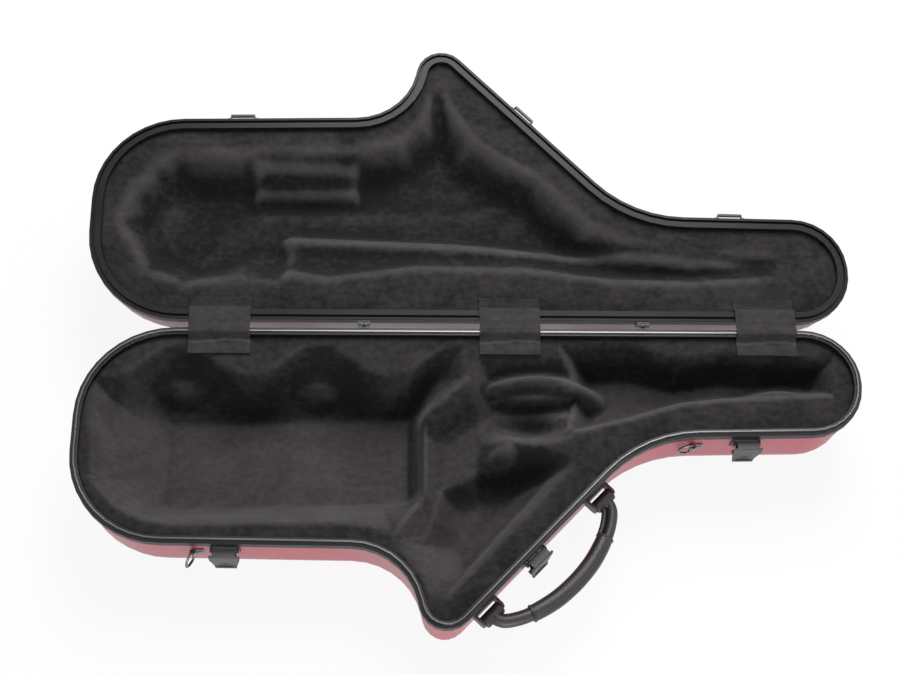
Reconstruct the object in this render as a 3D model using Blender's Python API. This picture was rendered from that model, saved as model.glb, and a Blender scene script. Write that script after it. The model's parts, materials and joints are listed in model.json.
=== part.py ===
# Tenor saxophone case, lying open: the base in front, the lid folded back behind it.
# Sizes are in millimetres. X runs along the case, Z up, and the floor is at z = 0.

import math

import bmesh
import bpy
import numpy as np
from mathutils import Matrix, Vector

MM = 0.001

# Outline of the rims, seen from above, as corners with radii. The hinge axis is y = 0 here.
HINGE_OFFSET = 4.65
BACK_LEFT = (-415.2, -HINGE_OFFSET)
FRONT_LEFT = (-413.6, -239.8)
THROAT = (-71.8, -246.7)
BELL_TIP = (-46.7, -357.6)
NECK = (180.0, -128.6)
FRONT_RIGHT = (411.3, -125.0)
BACK_RIGHT = (419.5, -HINGE_OFFSET)
CORNERS = (BACK_LEFT, FRONT_LEFT, THROAT, BELL_TIP, NECK, FRONT_RIGHT, BACK_RIGHT)
RADII = (99.4, 98.0, 70.9, 28.2, 139.4, 61.6, 60.9)
SAGITTA = 0.35
LEAST_RADIUS = 5.0

# Overall heights and the opening.
BASE_DEPTH = 97.0
LID_TILT = math.radians(6.3)
RIM_GAP = 0.4
GAP = 0.3

# Moulded shells.
SHELL_WALL = 3.0
BASE_DRAFT = 3.0
BASE_ROUND = 31.0
LID_DRAFT = 1.2
LID_DOME_IN = 46.0
LID_DOME_HIGH = 86.0
ROUND_STEPS = 4

# Rim extrusions.
FLANGE_WALL = 1.5
FLANGE_HIGH = 10.0
SLOT_DEEP = 4.2
INNER_LEG_HIGH = 8.0
BASE_RIM_WIDE = 8.0
LID_RIM_WIDE = 12.0
TONGUE_IN = 3.5
TONGUE_WIDE = 2.0
TONGUE_HIGH = 2.4
GROOVE_SIDE = 0.4
GROOVE_UNDER = 0.7

# Liners.
PLATEAU = 6.0
POCKET_SLOPE = 20.0
LINER_TOP = 3.0
LINER_CELL = 17.0
FLOOR_DEEP = 75.0
LID_FOAM_DEEP = 50.0
SOFT_STEPS = (-9.0, -4.5, 0.0, 4.5, 9.0)

# Hinges.
HINGE_X = (-115.9, 184.8)
HINGE_WIDE = 13.0
LEAF_THICK = 1.2
LEAF_HIGH = 14.0
LEAF_DOWN = 0.6
KNUCKLE_R = 2.2
KNUCKLE_MID = 4.6
HINGE_PIN_R = 0.85

# Velour flaps over the hinge line.
FLAP_X = (-269.9, 40.2, 317.9)
FLAP_WIDE = 65.0
FLAP_THICK = 1.6
FLAP_BASE_REACH = 27.0
FLAP_LID_REACH = 26.0

# Latches, given by their place along a wall of the base.
LATCH_PLACES = {"left": ("front_left", 160.0), "slant": ("slant", 151.0), "right": ("front_right", 109.0)}
LATCH_WIDE = 30.0
LEVER_TAPER = 0.28
LEVER_THICK = 1.8
LEVER_TIP_DOWN = 26.0
LEVER_CURL = 1.4
CLAW_WIDE = 23.4
CLAW_THICK = 1.5
CLAW_HOOK = 2.4
PIVOT_OUT = 2.0
PIVOT_DOWN = 18.0
LINK_REACH = 10.8
LINK_SWING = math.radians(62.0)
LINK_R = 1.7
LINK_WIDE = 24.0
LATCH_PIN_R = 0.8
LUG_THICK = 2.2
HOUSING_THICK = 1.4
HOUSING_HIGH = 22.0
HOUSING_TOP = FLANGE_HIGH + 1.6

# Keepers on the lid.
KEEPER_LONG = 33.0
KEEPER_FOOT = 2.8
KEEPER_WALL = 1.3
KEEPER_BAR_OUT = 6.0
KEEPER_BAR_WALL = 2.6
KEEPER_LOW = 2.5
KEEPER_HIGH = 4.0

# Handle on the slanted wall.
HANDLE_PAST_MIDDLE = 8.1
HANDLE_SPACING = 170.0
HANDLE_DOWN = 40.0
HANDLE_AXIS_OUT = 8.5
BRACKET_LONG = 31.0
BRACKET_HIGH = 12.0
BRACKET_PLATE = 2.0
FOOT_THICK = 3.0
BAR_R = 2.2
EYE_WALL = 3.0
STRAP_THICK = 5.0
STRAP_NECK = 12.0
STRAP_SHOULDER = 25.0
STRAP_ELBOW = 38.0
STRAP_END = 19.0
GRIP_LONG = 116.0
GRIP_OUT = 41.0
GRIP_BOW = 4.5
GRIP_R = 11.0
GRIP_END_R = 8.5
GRIP_RINGS = 12
GRIP_SIDES = 14

# Strap rings.
RING_PLACES = {"left": ("front_left", 126.8, 67.0), "right": ("front_right", 54.0, 8.0)}
RING_DOWN = 35.0
RING_WIRE_R = 1.5
RING_HIGH = 22.0
RING_REACH = 15.0
TAB_WALL = 1.2
TAB_HIGH = 14.0
TAB_LONG = 10.5
RIVET_R = 2.6
RIVET_HIGH = 1.0

BORE_PLAY = 0.3


def unit(dx, dy):
    length = math.hypot(dx, dy)
    return dx / length, dy / length


def offset_corners(corners, inset):
    """Corners of the polygon whose edges all lie inset inside the given one."""
    moved = []
    count = len(corners)
    for i in range(count):
        px, py = corners[i - 1]
        qx, qy = corners[i]
        rx, ry = corners[(i + 1) % count]
        ax, ay = unit(qx - px, qy - py)
        bx, by = unit(rx - qx, ry - qy)
        cross = ax * by - ay * bx
        shift = inset * (1 - (ax * bx + ay * by)) / cross
        moved.append((qx - ay * inset - ax * shift, qy + ax * inset - ay * shift))
    return moved


def corner_turn(corners, i):
    ax, ay = unit(corners[i][0] - corners[i - 1][0], corners[i][1] - corners[i - 1][1])
    after = corners[(i + 1) % len(corners)]
    bx, by = unit(after[0] - corners[i][0], after[1] - corners[i][1])
    return math.atan2(ax * by - ay * bx, ax * bx + ay * by)


def fitted_radii(corners, inset):
    """Corner radii at an inset, limited so that no two arcs meet on one edge."""
    turns = [corner_turn(corners, i) for i in range(len(corners))]
    wanted = []
    for turn, radius in zip(turns, RADII):
        changed = radius - inset if turn > 0 else radius + inset
        wanted.append(max(changed, LEAST_RADIUS))
    limits = [1.0] * len(corners)
    for i in range(len(corners)):
        j = (i + 1) % len(corners)
        length = math.dist(corners[i], corners[j])
        used = wanted[i] * abs(math.tan(turns[i] / 2)) + wanted[j] * abs(math.tan(turns[j] / 2))
        share = min(1.0, 0.96 * length / used)
        limits[i] = min(limits[i], share)
        limits[j] = min(limits[j], share)
    return turns, [radius * limit for radius, limit in zip(wanted, limits)]


def outline(inset):
    """Points of the case's outline at an inset, anticlockwise from the back left corner."""
    corners = offset_corners(CORNERS, inset)
    turns, radii = fitted_radii(corners, inset)
    points = []
    for i, (x, y) in enumerate(corners):
        turn = turns[i]
        side = 1 if turn > 0 else -1
        ax, ay = unit(x - corners[i - 1][0], y - corners[i - 1][1])
        reach = radii[i] * abs(math.tan(turn / 2))
        start = (x - ax * reach, y - ay * reach)
        centre = (start[0] - ay * radii[i] * side, start[1] + ax * radii[i] * side)
        steps = math.ceil(abs(turn) / (2 * math.acos(1 - SAGITTA / RADII[i])))
        first = math.atan2(start[1] - centre[1], start[0] - centre[0])
        for k in range(steps + 1):
            angle = first + turn * k / steps
            points.append((centre[0] + radii[i] * math.cos(angle), centre[1] + radii[i] * math.sin(angle)))
    return points


def overall_shift():
    """Where the hinge axis lies, so that the open case is centred on the origin."""
    xs = [point[0] for point in outline(0)]
    reach = -min(point[1] for point in outline(0))
    lid_reach = reach * math.cos(LID_TILT) + (FLANGE_HIGH + RIM_GAP / 2) * math.sin(LID_TILT)
    return -(max(xs) + min(xs)) / 2, (reach - lid_reach) / 2


SHIFT_X, SHIFT_Y = overall_shift()
AXIS_Z = BASE_DEPTH + RIM_GAP / 2
# Depth under the rim plane at which the lid's dome starts, so that the tilted lid just meets the floor.
DOME_ANGLES = [math.pi / 2 * k / (ROUND_STEPS + 1) for k in range(ROUND_STEPS + 2)]
DOME_DROP = max(
    LID_DOME_HIGH * math.sin(a) * math.cos(LID_TILT) - LID_DOME_IN * (1 - math.cos(a)) * math.sin(LID_TILT)
    for a in DOME_ANGLES
)
SHELL_INSET = FLANGE_WALL + GAP
DOME_BACK = HINGE_OFFSET + SHELL_INSET + LID_DRAFT
LID_WALL_HIGH = (AXIS_Z + DOME_BACK * math.sin(LID_TILT) - DOME_DROP) / math.cos(LID_TILT) - RIM_GAP / 2


def clear_scene():
    for item in list(bpy.data.objects):
        bpy.data.objects.remove(item, do_unlink=True)


def material(name, colour, roughness, metallic=0.0):
    found = bpy.data.materials.get(name)
    if found:
        return found
    made = bpy.data.materials.new(name)
    made.use_nodes = True
    shader = made.node_tree.nodes["Principled BSDF"]
    shader.inputs["Base Color"].default_value = (*colour, 1.0)
    shader.inputs["Roughness"].default_value = roughness
    shader.inputs["Metallic"].default_value = metallic
    return made


def shell_red():
    return material("shell_red", (0.35, 0.05, 0.07), 0.45)


def rim_metal():
    return material("rim_metal", (0.16, 0.16, 0.17), 0.4, 1.0)


def velour():
    return material("velour", (0.012, 0.011, 0.011), 0.95)


def latch_black():
    return material("latch_black", (0.03, 0.03, 0.035), 0.5)


def steel():
    return material("steel", (0.6, 0.6, 0.6), 0.3, 1.0)


def leather():
    return material("leather", (0.02, 0.018, 0.018), 0.6)


def finish(obj, look, smooth=35.0):
    obj.data.materials.clear()
    obj.data.materials.append(look)
    obj.data.shade_smooth()
    obj.data.set_sharp_from_angle(angle=math.radians(smooth))
    return obj


def make(name, bm):
    """An object from a bmesh in millimetres, with its faces pointing out."""
    bmesh.ops.recalc_face_normals(bm, faces=bm.faces[:])
    bmesh.ops.scale(bm, vec=(MM, MM, MM), verts=bm.verts[:])
    mesh = bpy.data.meshes.new(name)
    bm.to_mesh(mesh)
    bm.free()
    obj = bpy.data.objects.new(name, mesh)
    bpy.context.scene.collection.objects.link(obj)
    return obj


def loft(bm, rings, closed):
    """Skin rings of equally many points, closed on themselves or capped at both ends."""
    rows = [[bm.verts.new(point) for point in ring] for ring in rings]
    pairs = list(zip(rows, rows[1:]))
    if closed:
        pairs.append((rows[-1], rows[0]))
    for low, high in pairs:
        for i in range(len(low)):
            bm.faces.new((low[i - 1], low[i], high[i], high[i - 1]))
    if not closed:
        bm.faces.new(rows[0])
        bm.faces.new(rows[-1])


def extruded(profile, low, high):
    """A bmesh of a closed profile, drawn in (outward, up), extruded along the wall."""
    bm = bmesh.new()
    loft(bm, [[(s, -u, w) for u, w in profile] for s in (low, high)], False)
    return bm


def rod(radius, low, high, centre, sides=12):
    """A bmesh of a round rod along the wall about a centre given as (outward, up)."""
    turns = [2 * math.pi * (k + 0.5) / sides for k in range(sides)]
    circle = [(centre[0] + radius * math.cos(a), centre[1] + radius * math.sin(a)) for a in turns]
    return extruded(circle, low, high)


def combine(obj, tools, operation):
    """Join or cut an object with tool meshes, one Boolean after another."""
    for bm in tools:
        tool = make(obj.name + "_tool", bm)
        tool.hide_render = True
        tool.display_type = "WIRE"
        change = obj.modifiers.new(operation.lower(), "BOOLEAN")
        change.operation = operation
        change.object = tool
        change.solver = "EXACT"
        graph = bpy.context.evaluated_depsgraph_get()
        mesh = bpy.data.meshes.new_from_object(obj.evaluated_get(graph))
        obj.modifiers.clear()
        obj.data = mesh
        bpy.data.objects.remove(tool, do_unlink=True)
    return obj


def empty(name, parent, matrix):
    obj = bpy.data.objects.new(name, None)
    bpy.context.scene.collection.objects.link(obj)
    return place(obj, parent, matrix)


def place(obj, parent, matrix):
    obj.parent = parent
    obj.matrix_local = matrix
    return obj


def shifted(x, y, z):
    return Matrix.Translation(Vector((x, y, z)) * MM)


WALLS = {
    "front_left": (FRONT_LEFT, THROAT),
    "slant": (BELL_TIP, NECK),
    "front_right": (NECK, FRONT_RIGHT),
    "back": (BACK_RIGHT, BACK_LEFT),
}


def wall_frame(wall, along, mirrored=False):
    """Frame on a wall of the outline: X along it, -Y outward, Z up. Mirrored gives the lid's wall."""
    start, end = WALLS[wall]
    tx, ty = unit(end[0] - start[0], end[1] - start[1])
    x, y = start[0] + tx * along, start[1] + ty * along
    if mirrored:
        return shifted(x, -y, 0) @ Matrix.Rotation(math.atan2(ty, -tx), 4, "Z")
    return shifted(x, y, 0) @ Matrix.Rotation(math.atan2(ty, tx), 4, "Z")


def straight_middle(wall):
    """Distance along a wall to the middle of its straight part, between the arcs of its corners."""
    start, end = WALLS[wall]
    first, last = CORNERS.index(start), CORNERS.index(end)
    low = RADII[first] * abs(math.tan(corner_turn(CORNERS, first) / 2))
    high = math.dist(start, end) - RADII[last] * abs(math.tan(corner_turn(CORNERS, last) / 2))
    return (low + high) / 2


SHELL_TOP = SLOT_DEEP + GAP
BASE_WALL_LOW = BASE_DEPTH - BASE_ROUND


def base_wall_out(down):
    """Outward place of the base's outer wall at a depth under the rim plane, with the seating gap."""
    lean = BASE_DRAFT * (down - SHELL_TOP) / (BASE_WALL_LOW - SHELL_TOP)
    return GAP - SHELL_INSET - lean


def shell_profile(wall, draft, low, round_in, round_high, steps):
    """Insets and heights of a shell's face from its floor up to its wall's top, wall inside the outer one."""
    points = []
    for k in range(steps + 1):
        angle = math.pi / 2 * (1 - k / steps)
        inset = SHELL_INSET + draft + round_in - (round_in - wall) * math.cos(angle)
        points.append((inset, -low - (round_high - wall) * math.sin(angle)))
    points.append((SHELL_INSET + wall, -SHELL_TOP))
    return points


def base_profile(wall):
    return shell_profile(wall, BASE_DRAFT, BASE_WALL_LOW, BASE_ROUND, BASE_ROUND, ROUND_STEPS)


def lid_profile(wall):
    return shell_profile(wall, LID_DRAFT, LID_WALL_HIGH, LID_DOME_IN, LID_DOME_HIGH, ROUND_STEPS + 1)


def rings(profile, mirror):
    return [[(x, y * mirror, z) for x, y in outline(inset)] for inset, z in profile]


def shell(name, profile, mirror):
    bm = bmesh.new()
    chain = profile(0) + profile(SHELL_WALL)[::-1]
    loft(bm, rings(chain, mirror), False)
    return finish(make(name, bm), shell_red())


def rim_section(wide):
    """Points shared by both rims: the outer flange, the slot for the shell and the inner leg."""
    leg = SHELL_INSET + SHELL_WALL + 2 * GAP
    under = [
        (wide, -SLOT_DEEP + 1.0),
        (leg + FLANGE_WALL, -SLOT_DEEP + 1.0),
        (leg + FLANGE_WALL, -INNER_LEG_HIGH),
        (leg, -INNER_LEG_HIGH),
        (leg, -SLOT_DEEP),
        (FLANGE_WALL, -SLOT_DEEP),
        (FLANGE_WALL, -FLANGE_HIGH),
    ]
    return [(0, -FLANGE_HIGH), (0, -0.5), (0.5, 0)], under


def base_rim():
    outer, under = rim_section(BASE_RIM_WIDE)
    tongue = [
        (TONGUE_IN, 0),
        (TONGUE_IN + 0.2, TONGUE_HIGH),
        (TONGUE_IN + TONGUE_WIDE - 0.2, TONGUE_HIGH),
        (TONGUE_IN + TONGUE_WIDE, 0),
        (BASE_RIM_WIDE, 0),
    ]
    bm = bmesh.new()
    loft(bm, rings(outer + tongue + under, 1), True)
    return finish(make("base_rim", bm), rim_metal())


def lid_rim():
    outer, under = rim_section(LID_RIM_WIDE)
    low = TONGUE_IN - GROOVE_SIDE
    high = TONGUE_IN + TONGUE_WIDE + GROOVE_SIDE
    deep = -TONGUE_HIGH - GROOVE_UNDER
    groove = [(low, 0), (low, deep), (high, deep), (high, 0), (LID_RIM_WIDE, 0)]
    bm = bmesh.new()
    loft(bm, rings(outer + groove + under, -1), True)
    return finish(make("lid_rim", bm), rim_metal())


def rise(t):
    """Smooth step from 0 to 1."""
    t = np.clip(t, 0.0, 1.0)
    return t * t * (3 - 2 * t)


def inside(x, y, corners):
    """Distance to a polygon's edge, positive inside it."""
    nearest = np.full(np.shape(x), 1e9)
    odd = np.zeros(np.shape(x), dtype=bool)
    for (ax, ay), (bx, by) in zip(corners, corners[1:] + corners[:1]):
        dx, dy = bx - ax, by - ay
        t = np.clip(((x - ax) * dx + (y - ay) * dy) / (dx * dx + dy * dy), 0, 1)
        nearest = np.minimum(nearest, np.hypot(x - ax - t * dx, y - ay - t * dy))
        crosses = (ay > y) != (by > y)
        meet = ax + (y - ay) * dx / (dy if dy else 1e-9)
        odd ^= crosses & (x < meet)
    return np.where(odd, nearest, -nearest)


def brink(t):
    """A step from 0 to 1 with a firmer edge than a smooth one."""
    return 0.55 * rise(t) + 0.45 * np.clip(t, 0.0, 1.0)


# Pocket edges of the base liner, in the outline's plane, and their depths under the plateau.
BODY_DISH = [
    (-402, -62), (-396, -116), (-390, -174), (-366, -200), (-339, -214), (-306, -220), (-150, -217),
    (-110, -222), (-82, -230), (-50, -196), (-50, -100), (-8, -61), (-8, -10), (-400, -10),
]
BODY_FLOOR = [(-321, -86), (-64, -79), (-65, -174), (-323, -181)]
SCALLOP_MIDDLE = -38.0
SCALLOP_SWING = 19.0
SCALLOP_PITCH = 147.0
SCALLOP_AT = -164.0
RECESS_SHELF = {"y": -60.0, "long": 30.0, "wide": 15.0, "high": 11.0}
SADDLE_DISH = [
    (-70, -100), (-10, -62), (4, -30), (118, -28), (142, -62), (128, -112), (46, -129), (72, -186),
    (-36, -300), (-46, -284), (-64, -256), (-84, -236), (-76, -180),
]
SADDLE_DEEP = 34.0
SADDLE_EASE = 42.0
BELL_FIELD = [(-84, -238), (-62, -150), (0, -118), (70, -128), (120, -150), (-20, -350), (-50, -288)]
BELL_EDGE = ((-37.0, -303.0), (73.0, -189.0))
BELL_DEEP = 62.0
BELL_EASE = 62.0
BELL_STEEP = 15.0
NECK_X = (20.0, 116.0, 172.0, 222.0, 270.0, 376.0)
NECK_BACK = (-30.0, -20.0, -20.0, -34.0, -26.0, -33.0)
NECK_FRONT = (-134.0, -117.0, -103.0, -88.0, -83.0, -78.0)
NECK_ENDS = (96.0, 388.0)
NECK_DEEP = (56.0, 40.0)
NECK_EASE = 34.0
NECK_SHELF = {"x": 330.0, "y": -68.0, "long": 46.0, "wide": 15.0, "high": 20.0}
SECOND_HOLLOW = {"x": 62.0, "y": -110.0, "long": 56.0, "wide": 24.0, "high": -30.0}
ISLAND = {"x": 68.0, "y": -66.0, "long": 84.0, "wide": 24.0, "top": 8.0}
ISLAND_GROOVE = {"x": 60.0, "y": -73.0, "long": 70.0, "wide": 7.0, "high": -13.0}
NOSE = {"x": 28.0, "y": -146.0, "long": 24.0, "wide": 19.0, "high": 22.0}


def swell(x, y, form):
    """A smooth rise or hollow on an ellipse."""
    away = np.hypot((x - form["x"]) / form["long"], (y - form["y"]) / form["wide"])
    return form["high"] * rise(1 - away)


def body_pocket(x, y):
    """The flat floor for the body: a broad slope at the bow, a scalloped wall along the back."""
    turn = 2 * math.pi * (x - SCALLOP_AT) / SCALLOP_PITCH
    scallop = SCALLOP_MIDDLE + SCALLOP_SWING * np.cos(turn)
    edge = np.clip(np.minimum(inside(x, y, BODY_DISH), scallop - y), 0, None)
    floor = np.clip(-inside(x, y, BODY_FLOOR), 0, None)
    height = -PLATEAU - (FLOOR_DEEP - PLATEAU) * brink(edge / (edge + floor + 0.001))
    for x_at in (SCALLOP_AT, SCALLOP_AT - SCALLOP_PITCH):
        height = height + swell(x, y, {"x": x_at, **RECESS_SHELF}) * rise(edge / 8)
    return height


def bell_pocket(x, y):
    """A hollow for the bell, steep at its edge along the slant and easy towards the throat."""
    (ax, ay), (bx, by) = BELL_EDGE
    tx, ty = unit(bx - ax, by - ay)
    across = (y - ay) * tx - (x - ax) * ty
    return -PLATEAU - BELL_DEEP * brink(across / BELL_STEEP) * rise(inside(x, y, BELL_FIELD) / BELL_EASE)


def neck_pocket(x, y):
    back = (np.interp(x, NECK_X, NECK_BACK) - y) / POCKET_SLOPE
    front = (y - np.interp(x, NECK_X, NECK_FRONT)) / POCKET_SLOPE
    left = (x - NECK_ENDS[0]) / NECK_EASE
    right = (NECK_ENDS[1] - x) / POCKET_SLOPE
    deep = np.interp(x, NECK_ENDS, NECK_DEEP)
    share = np.minimum.reduce([back, front, left, right])
    return -PLATEAU - deep * brink(share) + swell(x, y, NECK_SHELF) * rise(share)


def base_height(x, y):
    """Height of the base liner's top over the rim plane."""
    saddle = -PLATEAU - SADDLE_DEEP * rise(inside(x, y, SADDLE_DISH) / SADDLE_EASE)
    saddle = saddle + swell(x, y, SECOND_HOLLOW)
    height = np.minimum.reduce([body_pocket(x, y), saddle, bell_pocket(x, y), neck_pocket(x, y)])
    away = np.hypot((x - ISLAND["x"]) / ISLAND["long"], (y - ISLAND["y"]) / ISLAND["wide"])
    island = -ISLAND["top"] - FLOOR_DEEP * rise(away - 0.35) + swell(x, y, ISLAND_GROOVE)
    return np.minimum(np.maximum(height, island) + swell(x, y, NOSE), -PLATEAU)


# Pocket edges of the lid liner, measured from the hinge axis.
LID_CAVITY = [
    (-384, 120), (-374, 160), (-350, 190), (-323, 204), (-241, 204), (-130, 209), (-79, 221), (-53, 246),
    (-36, 292), (4, 224), (77, 178), (131, 121), (176, 101), (246, 86), (320, 86), (374, 72), (374, 52),
    (243, 40), (159, 41), (59, 53), (-59, 54), (-155, 41), (-252, 55), (-310, 46), (-352, 62),
]
LID_EDGE_EASE = 30.0
LID_SHELF_X = (-222.0, -11.0, 124.0, 323.0)
LID_SHELF_V = (116.0, 108.0, 95.0, 72.0)
LID_SHELF_HIGH = 22.0
LID_SHELF_EASE = 14.0
LID_SHELF_END = -212.0
LID_PAD = {"left": -246.0, "right": -118.0, "low": 158.0, "high": 200.0, "rise": 18.0, "ease": 10.0}
LID_KNOB = {"x": -240.0, "y": 80.0, "long": 44.0, "wide": 24.0, "high": 14.0}
LID_BOW = {"x": -342.0, "y": 140.0, "long": 40.0, "wide": 62.0, "high": 12.0}
LID_WEDGE = [(-34, 282), (14, 222), (78, 180), (66, 176), (30, 194), (-2, 222), (-28, 262)]
LID_WEDGE_HIGH = 16.0


def lid_height(x, v):
    """Height of the lid liner's top over the lid's rim plane."""
    height = -PLATEAU - LID_FOAM_DEEP * brink(inside(x, v, LID_CAVITY) / LID_EDGE_EASE)
    below = np.interp(x, LID_SHELF_X, LID_SHELF_V) - v
    shelf = rise(below / LID_SHELF_EASE + 0.5) * rise((x - LID_SHELF_END) / LID_SHELF_EASE)
    height = height + LID_SHELF_HIGH * shelf
    sides = [x - LID_PAD["left"], LID_PAD["right"] - x, v - LID_PAD["low"], LID_PAD["high"] - v]
    height = height + LID_PAD["rise"] * rise(np.minimum.reduce(sides) / LID_PAD["ease"])
    height = height + swell(x, v, LID_KNOB) + swell(x, v, LID_BOW)
    height = height + LID_WEDGE_HIGH * rise(inside(x, v, LID_WEDGE) / LID_PAD["ease"])
    return np.minimum(height, -PLATEAU)


def softened(height, x, y):
    """A height function averaged over a cell, as foam under velour rounds a pocket's edges."""
    total = 0.0
    for dx in SOFT_STEPS:
        for dy in SOFT_STEPS:
            total = total + height(x + dx, y + dy)
    return total / len(SOFT_STEPS) ** 2


def air_block(height, low, high):
    """A block whose underside follows a height function, to cut the pockets with."""
    across = math.ceil((high[0] - low[0]) / LINER_CELL)
    along = math.ceil((high[1] - low[1]) / LINER_CELL)
    xs = np.linspace(low[0], high[0], across + 1)
    ys = np.linspace(low[1], high[1], along + 1)
    grid_x, grid_y = np.meshgrid(xs, ys, indexing="ij")
    grid_z = softened(height, grid_x, grid_y)
    bm = bmesh.new()
    rows = []
    for i in range(across + 1):
        rows.append([bm.verts.new((xs[i], ys[j], grid_z[i, j])) for j in range(along + 1)])
    for i in range(across):
        for j in range(along):
            bm.faces.new((rows[i][j], rows[i + 1][j], rows[i + 1][j + 1], rows[i][j + 1]))
    edge = rows[0][:] + [row[-1] for row in rows[1:]] + rows[-1][-2::-1] + [row[0] for row in rows[-2:0:-1]]
    top = [bm.verts.new((v.co.x, v.co.y, 10 * LINER_TOP)) for v in edge]
    for k in range(len(edge)):
        bm.faces.new((edge[k - 1], edge[k], top[k], top[k - 1]))
    bm.faces.new(top)
    return bm


def liner(name, profile, rim_wide, height, mirror):
    """Foam that fits the shell's inside and the rim, with pockets cut from above."""
    wall = SHELL_WALL + GAP
    below_leg = INNER_LEG_HIGH + 2 * GAP
    chain = profile(wall)[:-1]
    inner = chain[-1][0]
    top = SHELL_INSET + wall + 2 * GAP
    chain.append(((inner + top) / 2 if inner > top else inner, -below_leg - 3))
    chain.append((rim_wide + GAP, -below_leg))
    chain.append((rim_wide + GAP, LINER_TOP))
    bm = bmesh.new()
    loft(bm, rings(chain, mirror), False)
    obj = make(name, bm)
    points = outline(0)
    xs = [x for x, y in points]
    ys = [y * mirror for x, y in points]
    block = air_block(height, (min(xs) - 5, min(ys) - 5), (max(xs) + 5, max(ys) + 5))
    return finish(combine(obj, [block], "DIFFERENCE"), velour(), 60.0)


def hinge_leaf(name, knuckles):
    """A leaf on the rim's flange, with an arm to each knuckle on the hinge axis."""
    half = HINGE_WIDE / 2
    inner, outer = GAP, GAP + LEAF_THICK
    plate = [(inner, -LEAF_HIGH), (outer, -LEAF_HIGH), (outer, -LEAF_DOWN), (inner, -LEAF_DOWN)]
    obj = make(name, extruded(plate, -half, half))
    arm = [
        (inner + 0.1, -LEAF_DOWN - LEAF_THICK),
        (HINGE_OFFSET, -LEAF_DOWN - LEAF_THICK),
        (HINGE_OFFSET, -LEAF_DOWN - 0.1),
        (inner + 0.1, -LEAF_DOWN - 0.1),
    ]
    axis = (HINGE_OFFSET, RIM_GAP / 2)
    for low, high in knuckles:
        combine(obj, [extruded(arm, low, high), rod(KNUCKLE_R, low, high, axis)], "UNION")
    bore = rod(HINGE_PIN_R + BORE_PLAY, -HINGE_WIDE, HINGE_WIDE, axis)
    return finish(combine(obj, [bore], "DIFFERENCE"), latch_black())


def hinges(base, lid):
    length = math.dist(BACK_RIGHT, BACK_LEFT)
    half = HINGE_WIDE / 2
    middle = [(-KNUCKLE_MID / 2, KNUCKLE_MID / 2)]
    ends = [(-half, -KNUCKLE_MID / 2 - GAP), (KNUCKLE_MID / 2 + GAP, half)]
    for side, x in zip(("left", "right"), HINGE_X):
        along = length * (BACK_RIGHT[0] - x) / (BACK_RIGHT[0] - BACK_LEFT[0])
        at_base = wall_frame("back", along)
        place(hinge_leaf(f"hinge_{side}_base_leaf", middle), base, at_base)
        place(hinge_leaf(f"hinge_{side}_lid_leaf", ends), lid, wall_frame("back", along, True))
        pin = make(f"hinge_{side}_pin", rod(HINGE_PIN_R, -half, half, (HINGE_OFFSET, RIM_GAP / 2)))
        place(finish(pin, steel()), base, at_base)


def flap(name, x, parent):
    """A velour strip from the base liner over both rims to the lid liner."""
    rest = FLAP_THICK / 2 + GAP - PLATEAU
    rim_in = HINGE_OFFSET + BASE_RIM_WIDE
    lid_in = HINGE_OFFSET + LID_RIM_WIDE
    over = FLAP_THICK / 2 + GAP
    base_side = [
        (-FLAP_BASE_REACH - HINGE_OFFSET, rest),
        (-rim_in - 2.6, rest),
        (-rim_in - 1.6, over),
        (-HINGE_OFFSET - TONGUE_IN - TONGUE_WIDE - 1.0, TONGUE_HIGH + over),
        (-HINGE_OFFSET, TONGUE_HIGH + over),
    ]
    lid_side = [
        (HINGE_OFFSET, TONGUE_HIGH),
        (lid_in - 1.0, over + 0.4),
        (lid_in + 1.8, over),
        (lid_in + 2.6, rest),
        (FLAP_LID_REACH + HINGE_OFFSET, rest),
    ]
    turn = Matrix.Rotation(LID_TILT, 2)
    path = [Vector(point) for point in base_side]
    for v, h in lid_side:
        path.append(turn @ Vector((v, h - RIM_GAP / 2)) + Vector((0, RIM_GAP / 2)))
    upper, lower = [], []
    for i, point in enumerate(path):
        before, after = path[max(i - 1, 0)], path[min(i + 1, len(path) - 1)]
        along = (after - before).normalized()
        across = Vector((-along.y, along.x)) * FLAP_THICK / 2
        upper.append(point + across)
        lower.append(point - across)
    bm = bmesh.new()
    section = upper + lower[::-1]
    loft(bm, [[(s, p.x, p.y) for p in section] for s in (x - FLAP_WIDE / 2, x + FLAP_WIDE / 2)], False)
    return place(finish(make(name, bm), velour()), parent, Matrix())


def link_place(angle):
    """Place of a link's far pivot, as (outward, up), for its angle over the horizontal."""
    return PIVOT_OUT + LINK_REACH * math.cos(angle), -PIVOT_DOWN + LINK_REACH * math.sin(angle)


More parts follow.
